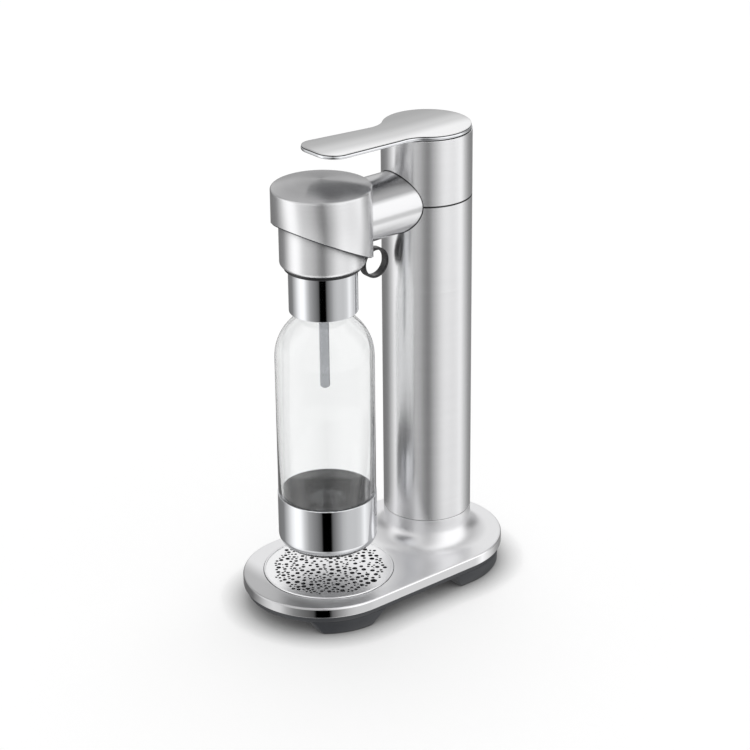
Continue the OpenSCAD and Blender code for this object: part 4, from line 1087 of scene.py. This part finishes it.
def grille_tree():
    tree = bpy.data.node_groups.new("grille_holes", "GeometryNodeTree")
    tree.interface.new_socket(name="Geometry", in_out="OUTPUT", socket_type="NodeSocketGeometry")
    keys = {name: group_input(tree, name, "NodeSocketFloat", size, least)
            for name, size, least in GRILLE_SIZES}
    keys["Seed"] = group_input(tree, "Seed", "NodeSocketInt", GRILLE_SEED)
    given = node_in(tree, "NodeGroupInput")
    value = {name: given.outputs[name] for name in keys}

    def scattered(spacing, seed):
        disc = node_in(tree, "GeometryNodeMeshCircle",
                       {"Vertices": 96, "Radius": value["Field Radius"]}, fill_type="NGON")
        points = node_in(tree, "GeometryNodeDistributePointsOnFaces", {
            "Mesh": disc.outputs[0], "Distance Min": spacing, "Density Max": POINT_DENSITY,
            "Seed": seed}, distribute_method="POISSON")
        return points.outputs["Points"]

    def without(points, operation, first, second):
        """Takes out the points for which the comparison holds."""
        test = node_in(tree, "FunctionNodeCompare", {0: first, 1: second}, data_type="FLOAT",
                       operation=operation)
        drop = node_in(tree, "GeometryNodeDeleteGeometry",
                       {"Geometry": points, "Selection": test.outputs[0]}, domain="POINT")
        return drop.outputs[0]

    def inside_field(points, radius):
        """Keeps the points whose hole stays inside the field."""
        place = node_in(tree, "GeometryNodeInputPosition")
        length = node_in(tree, "ShaderNodeVectorMath", {0: place.outputs[0]}, operation="LENGTH")
        reach = math_node(tree, "ADD", length.outputs["Value"], radius)
        return without(points, "GREATER_THAN", reach, value["Field Radius"])

    def circles(points, radius, count):
        ring = node_in(tree, "GeometryNodeCurvePrimitiveCircle", {"Resolution": count, "Radius": 1})
        placed = node_in(tree, "GeometryNodeInstanceOnPoints",
                         {"Points": points, "Instance": ring.outputs[0], "Scale": radius})
        return placed.outputs[0]

    def room(points, web):
        """Half the way to the nearest other point, less half the web."""
        near = node_in(tree, "GeometryNodeIndexOfNearest")
        place = node_in(tree, "GeometryNodeInputPosition")
        there = node_in(tree, "GeometryNodeSampleIndex", {
            "Geometry": points, "Index": near.outputs["Index"]}, data_type="FLOAT_VECTOR", domain="POINT")
        tree.links.new(place.outputs[0], there.inputs["Value"])
        away = node_in(tree, "ShaderNodeVectorMath", {0: place.outputs[0], 1: there.outputs[0]},
                       operation="DISTANCE")
        half = math_node(tree, "MULTIPLY", away.outputs["Value"], 0.5)
        return math_node(tree, "SUBTRACT", half, math_node(tree, "MULTIPLY", web, 0.5))

    large = inside_field(scattered(value["Large Spacing"], value["Seed"]), value["Large Radius"])
    vary = node_in(tree, "FunctionNodeRandomValue", {2: LEAST_SHARE, 3: MOST_SHARE, "Seed": value["Seed"]},
                   data_type="FLOAT")
    large_circles = circles(large, math_node(tree, "MULTIPLY", vary.outputs[1], value["Large Radius"]), 28)
    large_plain = node_in(tree, "GeometryNodeRealizeInstances", {0: large_circles})
    large_discs = node_in(tree, "GeometryNodeFillCurve", {"Curve": large_plain.outputs[0]})

    next_seed = math_node(tree, "ADD", value["Seed"], 1)
    small = inside_field(scattered(value["Small Spacing"], next_seed), value["Web"])
    near_large = node_in(tree, "GeometryNodeProximity", {0: large_discs.outputs[0]}, target_element="FACES")
    away = near_large.outputs["Distance"]
    kept = without(small, "LESS_THAN", away, math_node(tree, "MULTIPLY", value["Web"], CROWDED))
    beside = math_node(tree, "SUBTRACT", away, value["Web"])
    fits = math_node(tree, "MAXIMUM", math_node(tree, "MINIMUM", beside, room(kept, value["Web"])),
                     SMALLEST_R)
    small_circles = circles(kept, fits, 18)

    rim = node_in(tree, "GeometryNodeCurvePrimitiveCircle",
                  {"Resolution": 192, "Radius": value["Outer Radius"]})
    joined = node_in(tree, "GeometryNodeJoinGeometry")
    for piece in (rim.outputs[0], large_circles, small_circles):
        tree.links.new(piece, joined.inputs[0])
    plain = node_in(tree, "GeometryNodeRealizeInstances", {0: joined.outputs[0]})
    sheet = node_in(tree, "GeometryNodeFillCurve", {"Curve": plain.outputs[0]})
    thick = node_in(tree, "GeometryNodeExtrudeMesh", {
        "Individual": False, "Mesh": sheet.outputs[0], "Offset Scale": value["Thickness"]}, mode="FACES")
    back = node_in(tree, "GeometryNodeFlipFaces", {0: sheet.outputs[0]})
    both = node_in(tree, "GeometryNodeJoinGeometry")
    for piece in (thick.outputs[0], back.outputs[0]):
        tree.links.new(piece, both.inputs[0])
    merged = node_in(tree, "GeometryNodeMergeByDistance", {0: both.outputs[0], "Distance": MERGE_REACH})
    real = node_in(tree, "GeometryNodeRealizeInstances", {0: merged.outputs[0]})
    finish = node_in(tree, "GeometryNodeSetMaterial", {"Material": steel_grille, 0: real.outputs[0]})
    node_in(tree, "NodeGroupOutput", {0: finish.outputs[0]})
    return tree, keys


def grown(name, tree, keys, **values):
    """Runs a Geometry Nodes tree and leaves its result as a plain mesh."""
    piece = bpy.data.objects.new(name, bpy.data.meshes.new(name))
    scene.collection.objects.link(piece)
    step = piece.modifiers.new("grow", "NODES")
    step.node_group = tree
    for key, value in values.items():
        step[keys[key]] = value
    bpy.context.view_layer.update()
    mesh = bpy.data.meshes.new_from_object(piece.evaluated_get(bpy.context.evaluated_depsgraph_get()))
    piece.modifiers.clear()
    piece.data = mesh
    return piece


def grille_pieces():
    tree, keys = grille_tree()
    sheet = grown("grille_sheet", tree, keys, Seed=GRILLE_SEED)
    sheet.data.transform(Matrix.Translation((0, HEAD_Y, GRILLE_Z)))
    sheet.data.shade_smooth()
    sheet.data.set_sharp_from_angle(angle=math.radians(40))
    settle(sheet, "grille", "grille_steel", "drip_grille")
    section = [(BEAD_R + BEAD_SIZE * math.cos(a), BEAD_Z + BEAD_SIZE * math.sin(a))
               for a in (math.radians(20 * k) for k in range(18))]
    bead = turned("grille_rim", section, steel_grille, HEAD_Y, 224)
    settle(bead, "grille", "grille_steel")


grille_pieces()

# %% [markdown]
# The lever is three layers: a polished lower part with rolled edges, a thin dark line and a
# brushed top that is slightly crowned. The dark line fills the real gap between the other two,
# and its dark colour is painted shade for that gap. All follow one outline, made of a round
# pad, two hollow throats and a long handle with round corners. Each layer is a stack of such
# outlines, and rows of points across it carry the crown.

# %% Lever
PAD_R = 39.6 * MM
NECK_W = 22.4 * MM
TIP_W = 25.4 * MM
THROAT_R = 25 * MM
CORNER_R = 17 * MM
TIP_Y = -64 * MM
LEVER_Z = 423.3 * MM
NECK_Y = COLUMN_Y - math.sqrt((PAD_R + THROAT_R) ** 2 - (NECK_W + THROAT_R) ** 2)
BEND_Y = NECK_Y - 1 * MM
BLEND_Y = 9 * MM
RISE = math.tan(math.radians(2))
BODY_T = 2.9 * MM
BODY_INSET = 6 * MM
ROUND_LOW, ROUND_HIGH = 1.1 * MM, 0.6 * MM
ROUND_LAND = 0.3 * MM
LINE_INSET, LINE_LOW, LINE_HIGH = 0.3 * MM, -0.45 * MM, 0.8 * MM
TOP_RISE = 0.78 * MM
# The brushed top's edge, as insets and heights above its underside
TOP_EDGE = [(0.35 * MM, 0), (0.35 * MM, 0.15 * MM), (0.5 * MM, 0.32 * MM), (0.8 * MM, 0.42 * MM),
            (1.3 * MM, 0.48 * MM)]
CROWN = 0.42 * MM
CROWN_FADE = 20 * MM
CROWN_COLUMNS = 14


def lever_half(inset):
    """Half of the lever's outline from the back of the pad to the middle of the tip, as (half width, y)."""
    points = []
    throat = Vector((NECK_W + THROAT_R, NECK_Y))
    pad = Vector((0, COLUMN_Y))
    meet = math.atan2(NECK_Y - COLUMN_Y, NECK_W + THROAT_R)
    for k in range(44):
        a = math.pi / 2 + (meet - math.pi / 2) * k / 43
        points.append(pad + (PAD_R - inset) * Vector((math.cos(a), math.sin(a))))
    for k in range(1, 15):
        a = meet + math.pi + (math.pi - meet - math.pi) * k / 14
        points.append(throat + (THROAT_R + inset) * Vector((math.cos(a), math.sin(a))))
    corner = Vector((TIP_W - CORNER_R, TIP_Y + CORNER_R))
    start = points[-1]
    end = corner + Vector((CORNER_R - inset, 0))
    for k in range(1, 13):
        points.append(start.lerp(end, k / 13))
    for k in range(19):
        a = -math.pi / 2 * k / 18
        points.append(corner + (CORNER_R - inset) * Vector((math.cos(a), math.sin(a))))
    points.append(Vector((0, TIP_Y + inset)))
    return points


def lever_lift(y):
    """Height of the handle's rise in front of the bend, eased in so that no crease shows."""
    ahead = BEND_Y - y
    if ahead <= -BLEND_Y:
        return 0.0
    if ahead >= BLEND_Y:
        return ahead * RISE
    return RISE * (ahead + BLEND_Y) ** 2 / (4 * BLEND_Y)


def lever_layer(name, section, material, crown=0.0):
    """A layer from (inset, height) points up one edge; crown lifts the middle of its top."""
    bm = bmesh.new()
    rings = []
    for inset, height in section:
        half = lever_half(inset)
        right = [bm.verts.new((p.x, p.y, height + lever_lift(p.y))) for p in half[1:-1]]
        left = [bm.verts.new((-p.x, p.y, height + lever_lift(p.y))) for p in half[1:-1]]
        back = bm.verts.new((0, half[0].y, height + lever_lift(half[0].y)))
        tip = bm.verts.new((0, half[-1].y, height + lever_lift(half[-1].y)))
        rings.append([back] + right + [tip] + left[::-1])
    count = len(rings[0])
    for lower, upper in zip(rings, rings[1:]):
        for k in range(count):
            n = (k + 1) % count
            bm.faces.new((lower[k], lower[n], upper[n], upper[k]))
    for ring, lift in ((rings[-1], crown), (rings[0], 0.0)):
        half = (count - 2) // 2
        back, right, tip, left = ring[0], ring[1:half + 1], ring[half + 1], ring[half + 2:][::-1]
        rows = []
        for a, b in zip(left, right):
            row = [a]
            for j in range(1, CROWN_COLUMNS):
                t = 2 * j / CROWN_COLUMNS - 1
                at = a.co.lerp(b.co, j / CROWN_COLUMNS)
                width = min(1, abs(b.co.x) / CROWN_FADE)
                row.append(bm.verts.new((at.x, at.y, at.z + lift * (1 - t * t) * width)))
            rows.append(row + [b])
        for first, second in zip(rows, rows[1:]):
            for j in range(CROWN_COLUMNS):
                bm.faces.new((first[j], first[j + 1], second[j + 1], second[j]))
        for j in range(CROWN_COLUMNS):
            bm.faces.new((back, rows[0][j], rows[0][j + 1]))
            bm.faces.new((tip, rows[-1][j + 1], rows[-1][j]))
    return finished(name, bm, material, 40)


def lever_pieces():
    low, high = LEVER_Z, LEVER_Z + BODY_T
    section = [(BODY_INSET, low), (ROUND_LOW + ROUND_LAND, low)]
    section += [(ROUND_LOW * (1 - math.sin(a)), low + ROUND_LOW * (1 - math.cos(a)))
                for a in (math.pi / 2 * k / 6 for k in range(7))]
    section += [(ROUND_HIGH * (1 - math.cos(a)), high - ROUND_HIGH * (1 - math.sin(a)))
                for a in (math.pi / 2 * k / 5 for k in range(6))]
    section += [(ROUND_HIGH + ROUND_LAND, high)]
    lower = lever_layer("lever_polished_body", section, steel_mirror)
    # Painted shade: this dark layer fills the real gap between body and top, and its dark colour stands for
    # the shade in that gap.
    line = lever_layer("lever_dark_line", [(LINE_INSET, high + LINE_LOW), (LINE_INSET, high + LINE_HIGH)],
                       plastic_gloss)
    top_low = high + TOP_RISE
    top = lever_layer("lever_brushed_top", [(inset, top_low + up) for inset, up in TOP_EDGE],
                      steel_lever, crown=CROWN)
    settle(lower, "lever", "mirror_steel", "lever_base")
    settle(line, "lever", "black_gloss", "lever_inlay")
    settle(top, "lever", "brushed_shell", "lever_plate")


lever_pieces()

# %% [markdown]
# The moulded and machined parts keep the shape of their CAD parts. What they lack is the
# small rounding that every real edge has, so each is copied, its flat faces are cleaned up,
# and its sharp edges are bevelled. The CAD meshes themselves stay as they are.

# %% Rounded copies of the CAD parts
COPY_REACH = 0.002 * MM
FLAT_ANGLE, SHARP_ANGLE = 0.6, 32


def rounded_copy(name, node, material, body, slot, width):
    source = nodes[node]
    bm = bmesh.new()
    bm.from_mesh(source.data)
    bmesh.ops.transform(bm, matrix=source.matrix_world, verts=bm.verts)
    bmesh.ops.remove_doubles(bm, verts=bm.verts, dist=COPY_REACH)
    bmesh.ops.dissolve_limit(bm, angle_limit=math.radians(FLAT_ANGLE), verts=bm.verts, edges=bm.edges)
    edges = [e for e in bm.edges
             if len(e.link_faces) == 2 and e.calc_face_angle(0) > math.radians(SHARP_ANGLE)]
    bmesh.ops.bevel(bm, geom=edges, offset=width, offset_type="OFFSET", segments=2, profile=0.5,
                    affect="EDGES", clamp_overlap=True)
    bmesh.ops.triangulate(bm, faces=[f for f in bm.faces if len(f.verts) > 4])
    return settle(finished(name, bm, material), body, slot, node)


COPIES = [
    ("underside_moulding", "base_underside", plastic_dark, "stand", "dark_plastic", 0.6 * MM),
    ("feet_moulding", "base_feet", plastic_dark, "stand", "dark_plastic", 0.9 * MM),
    ("foot_pads_rubber", "foot_pads", rubber_black, "stand", "soft_rubber", 0.5 * MM),
    ("drip_well_moulding", "drip_well", plastic_dark, "stand", "dark_plastic", 0.5 * MM),
    ("drip_cup_moulding", "drip_cup", plastic_dark, "tray", "dark_plastic", 0.3 * MM),
    ("hatch_moulding", "cylinder_hatch", plastic_dark, "hatch", "dark_plastic", 0.5 * MM),
    ("head_lining", "shroud_liner", plastic_dark, "stand", "dark_plastic", 0.3 * MM),
    ("lever_bracket_plate", "lever_bracket", steel_plated, "stand", "frame_steel", 0.3 * MM),
    ("rocker_forging", "rocker_arm", steel_plated, "rocker", "frame_steel", 0.4 * MM),
    ("valve_block_machined", "valve_block", alloy_satin, "stand", "cylinder_alloy", 0.5 * MM),
    ("cylinder_valve_turned", "cylinder_valve", brass_turned, "gas_cylinder", "valve_brass", 0.4 * MM),
    ("cylinder_bottle", "cylinder_body", alloy_satin, "gas_cylinder", "cylinder_alloy", 0.4 * MM),
    ("cradle_moulding", "dock_cradle", plastic_dark, "cradle", "dark_plastic", 0.4 * MM),
    ("cap_inner_moulding", "cap_body", plastic_dark, "cap", "dark_plastic", 0.3 * MM),
    ("release_bush_moulding", "release_bush", plastic_dark, "cap", "dark_plastic", 0.25 * MM),
    ("frame_weldment", "inner_frame", steel_plated, "stand", "frame_steel", 0.4 * MM),
]
for name, node, material, body, slot, width in COPIES:
    rounded_copy(name, node, material, body, slot, width)

# %% [markdown]
# Ten screws show from below: six hold the underside, and four hold the frame inside the
# column. One screw is turned and gets a cross recess, and a small Geometry Nodes tree puts a
# copy of it at each spot, turned at random.

# %% Screws under the base
SCREW_HEAD_R, SCREW_HEAD_H = 2.9 * MM, 1.7 * MM
SCREW_R = 1.5 * MM
SCREW_Z = 12.6 * MM
SCREW_LENGTH, FRAME_SCREW_LENGTH = 13.6 * MM, 15.3 * MM
HEAD_ROUND, HEAD_RIM, SCREW_TIP = 0.5 * MM, 0.15 * MM, 0.3 * MM
RECESS_HALF, RECESS_W, RECESS_DEEPER = 1.7 * MM, 0.32 * MM, 2.4
FRAME_R = 36.5 * MM


def spots_tree():
    tree = bpy.data.node_groups.new("copies_at_spots", "GeometryNodeTree")
    tree.interface.new_socket(name="Geometry", in_out="OUTPUT", socket_type="NodeSocketGeometry")
    keys = {name: tree.interface.new_socket(name=name, in_out="INPUT", socket_type=kind).identifier
            for name, kind in (("Spots", "NodeSocketObject"), ("Part", "NodeSocketObject"),
                               ("Finish", "NodeSocketMaterial"), ("Seed", "NodeSocketInt"))}
    given = node_in(tree, "NodeGroupInput")
    spots = node_in(tree, "GeometryNodeObjectInfo", {"Object": given.outputs["Spots"]})
    part = node_in(tree, "GeometryNodeObjectInfo", {"Object": given.outputs["Part"]})
    points = node_in(tree, "GeometryNodeMeshToPoints", {"Mesh": spots.outputs["Geometry"]})
    turn = node_in(tree, "FunctionNodeRandomValue", {
        0: (0, 0, 0), 1: (0, 0, math.pi / 2), "Seed": given.outputs["Seed"]}, data_type="FLOAT_VECTOR")
    placed = node_in(tree, "GeometryNodeInstanceOnPoints", {
        "Points": points.outputs[0], "Instance": part.outputs["Geometry"], "Rotation": turn.outputs[0]})
    real = node_in(tree, "GeometryNodeRealizeInstances", {0: placed.outputs[0]})
    finish = node_in(tree, "GeometryNodeSetMaterial",
                     {0: real.outputs[0], "Material": given.outputs["Finish"]})
    node_in(tree, "NodeGroupOutput", {0: finish.outputs[0]})
    return tree, keys


def copies_at(name, part, spots, seed, *replaced):
    """Puts a part at each spot, as one plated piece of the stand."""
    mesh = bpy.data.meshes.new("spots")
    mesh.from_pydata(spots, [], [])
    marks = bpy.data.objects.new("spots", mesh)
    scene.collection.objects.link(marks)
    piece = grown(name, *SPOTS_TREE, Spots=marks, Part=part, Finish=steel_plated, Seed=seed)
    piece.data.shade_smooth()
    piece.data.set_sharp_from_angle(angle=math.radians(35))
    bpy.data.objects.remove(marks)
    bpy.data.objects.remove(part)
    return settle(piece, "stand", "spring_wire", *replaced)


def screw(length):
    made = turned("screw", rounded([
        (0, 0, 0), (SCREW_HEAD_R, 0, HEAD_ROUND), (SCREW_HEAD_R, SCREW_HEAD_H, HEAD_RIM),
        (SCREW_R, SCREW_HEAD_H, 0), (SCREW_R, length, SCREW_TIP), (0, length, 0)], 4),
        steel_plated, 0, 40)
    slots = []
    for turn in (0, 90):
        bar = rod("recess", RECESS_W * math.sqrt(2), (-RECESS_HALF, 0, 0), (RECESS_HALF, 0, 0), 4)
        bar.data.transform(Matrix.Scale(RECESS_DEEPER, 4, (0, 0, 1)))
        bar.data.transform(Matrix.Rotation(math.radians(turn), 4, "Z"))
        slots.append(bar)
    return cut_away(made, slots)


SPOTS_TREE = spots_tree()
FRAME_SPOTS = [(FRAME_R * math.cos(a), COLUMN_Y + FRAME_R * math.sin(a), SCREW_Z)
               for a in (0, math.pi / 2, math.pi, 3 * math.pi / 2)]
copies_at("base_screw_set", screw(SCREW_LENGTH), [(x, y, SCREW_Z) for x, y in SCREW_SPOTS], 3,
          "base_screws")
copies_at("frame_screw_set", screw(FRAME_SCREW_LENGTH), FRAME_SPOTS, 5, "frame_screws")

# %% [markdown]
# Under the lever's pad two lugs take the hinge pin, and a coil spring round the pin holds the
# lever up. The lugs are flat plates cut to an outline, and the coil is a wire on a helix.

# %% Lever lugs and spring
LIFT_Y, LIFT_Z = 50 * MM, 409 * MM
LUG_FRONT, LUG_BACK, LUG_RISE = 31 * MM, 54 * MM, 0.8 * MM
LUG_HINGE_R, LUG_LIFT_R = 5 * MM, 4 * MM
LUG_NEAR, LUG_FAR = 9.8 * MM, 13.2 * MM
LUG_ROUND = 0.35 * MM
HINGE_HOLE_R, LIFT_HOLE_R = 2.55 * MM, 2.0 * MM
PIN_REACH = 20 * MM
COIL_R, COIL_WIRE, COIL_TURNS, COIL_END = 3.4 * MM, 0.75 * MM, 9, 9.5 * MM


def plate_across(bm, outline, x0, x1):
    """A plate with an outline in Y and Z, from x0 to x1."""
    loops = [[bm.verts.new((x, y, z)) for y, z in outline] for x in (x0, x1)]
    bm.faces.new(loops[0])
    bm.faces.new(loops[1][::-1])
    for k in range(len(outline)):
        n = (k + 1) % len(outline)
        bm.faces.new((loops[0][k], loops[0][n], loops[1][n], loops[1][k]))


def lug_outline():
    def arc(y, z, radius, start, turn, count):
        turns = [math.radians(start + turn * k / count) for k in range(count + 1)]
        return [(y + radius * math.cos(a), z + radius * math.sin(a)) for a in turns]

    top = LEVER_Z + LUG_RISE
    return ([(LUG_FRONT, top)] + arc(HINGE_Y, HINGE_Z, LUG_HINGE_R, 180, 60, 10)
            + arc(LIFT_Y, LIFT_Z, LUG_LIFT_R, 240, 120, 14) + [(LUG_BACK, top)])


def pin_hole(radius, y, z, steps):
    return rod("pin_hole", radius, (-PIN_REACH, y, z), (PIN_REACH, y, z), steps)


def lever_lugs():
    bm = bmesh.new()
    for side in (-1, 1):
        low, high = sorted((side * LUG_NEAR, side * LUG_FAR))
        plate_across(bm, lug_outline(), low, high)
    bmesh.ops.recalc_face_normals(bm, faces=bm.faces)
    sharp_edges = [e for e in bm.edges if e.calc_face_angle(0) > math.radians(40)]
    bmesh.ops.bevel(bm, geom=sharp_edges, offset=LUG_ROUND, segments=2, profile=0.5, affect="EDGES")
    lugs = finished("lever_lug_plates", bm, steel_plated)
    cut_away(lugs, [pin_hole(HINGE_HOLE_R, HINGE_Y, HINGE_Z, 48),
                    pin_hole(LIFT_HOLE_R, LIFT_Y, LIFT_Z, 40)])
    settle(lugs, "lever", "mirror_steel")


def return_coil(sides=10, steps=28):
    """A wire coil round the hinge pin, along X."""
    count = COIL_TURNS * steps
    low, high = -COIL_END, COIL_END
    bm = bmesh.new()
    rings = []
    for k in range(count + 1):
        a = 2 * math.pi * k / steps
        x = low + COIL_WIRE + (high - low - 2 * COIL_WIRE) * k / count
        out = Vector((0, math.cos(a), math.sin(a)))
        at = HINGE + Vector((x, 0, 0)) + out * COIL_R
        rings.append([bm.verts.new(at + COIL_WIRE * (math.cos(t) * out + math.sin(t) * Vector((1, 0, 0))))
                      for t in (2 * math.pi * j / sides for j in range(sides))])
    for first, second in zip(rings, rings[1:]):
        for j in range(sides):
            n = (j + 1) % sides
            bm.faces.new((first[j], first[n], second[n], second[j]))
    bm.faces.new(rings[0])
    bm.faces.new(rings[-1][::-1])
    wire = finished("lever_return_coil", bm, steel_plated, 50)
    settle(wire, "stand", "spring_wire", "lever_spring")


lever_lugs()
return_coil()

# %% [markdown]
# Every CAD part gets a procedural finish, hidden ones too, because the moving poses and the
# underside show them.

# %% Give each CAD part its finish
FINISH = {
    "base_plate": steel_flat, "base_underside": plastic_dark, "foot_pads": rubber_black,
    "base_feet": plastic_dark, "drip_well": plastic_dark, "grille_tabs": steel_flat,
    "base_screws": steel_plated, "drip_cup": plastic_dark, "drip_grille": steel_flat,
    "cylinder_hatch": plastic_dark, "hatch_pad": rubber_black, "inner_frame": steel_plated,
    "frame_screws": steel_plated, "base_seam_ring": plastic_gloss, "column_tube": steel_round,
    "column_head": steel_round, "seam_ring": plastic_gloss, "cylinder_body": alloy_satin,
    "cylinder_valve": brass_turned, "valve_pin": steel_plated, "cylinder_seal": rubber_black,
    "valve_block": alloy_satin, "safety_valve": brass_turned, "plunger": steel_plated,
    "plunger_spring": steel_plated, "rocker_arm": steel_plated, "rocker_pin": steel_plated,
    "lever_bracket": steel_plated, "lever_hinge_pin": steel_plated, "lever_lift_pin": steel_plated,
    "lever_spring": steel_plated, "lever_base": steel_mirror, "lever_inlay": plastic_gloss,
    "lever_plate": steel_lever, "gas_pipe": copper_drawn, "arm_tube": steel_arm,
    "arm_gasket": plastic_gloss, "arm_core": alloy_satin, "arm_screws": steel_plated,
    "shroud": steel_round, "shroud_liner": plastic_dark, "gas_nozzle": brass_turned,
    "dock_cradle": plastic_dark, "dock_seal": rubber_black, "cap_shell": steel_round,
    "cap_body": plastic_dark, "cap_ring": plastic_gloss, "cap_collar": steel_mirror,
    "cap_seal": rubber_black, "dip_tube": steel_mirror, "pull_ring": plastic_gloss,
    "release_bush": plastic_dark, "release_spring": steel_plated, "bottle_body": bottle_clear,
    "bottle_cup": steel_mirror,
}
for name, finish in FINISH.items():
    nodes[name].data.materials.clear()
    nodes[name].data.materials.append(finish)
print("finished nodes:", len(FINISH), "of", len(nodes))
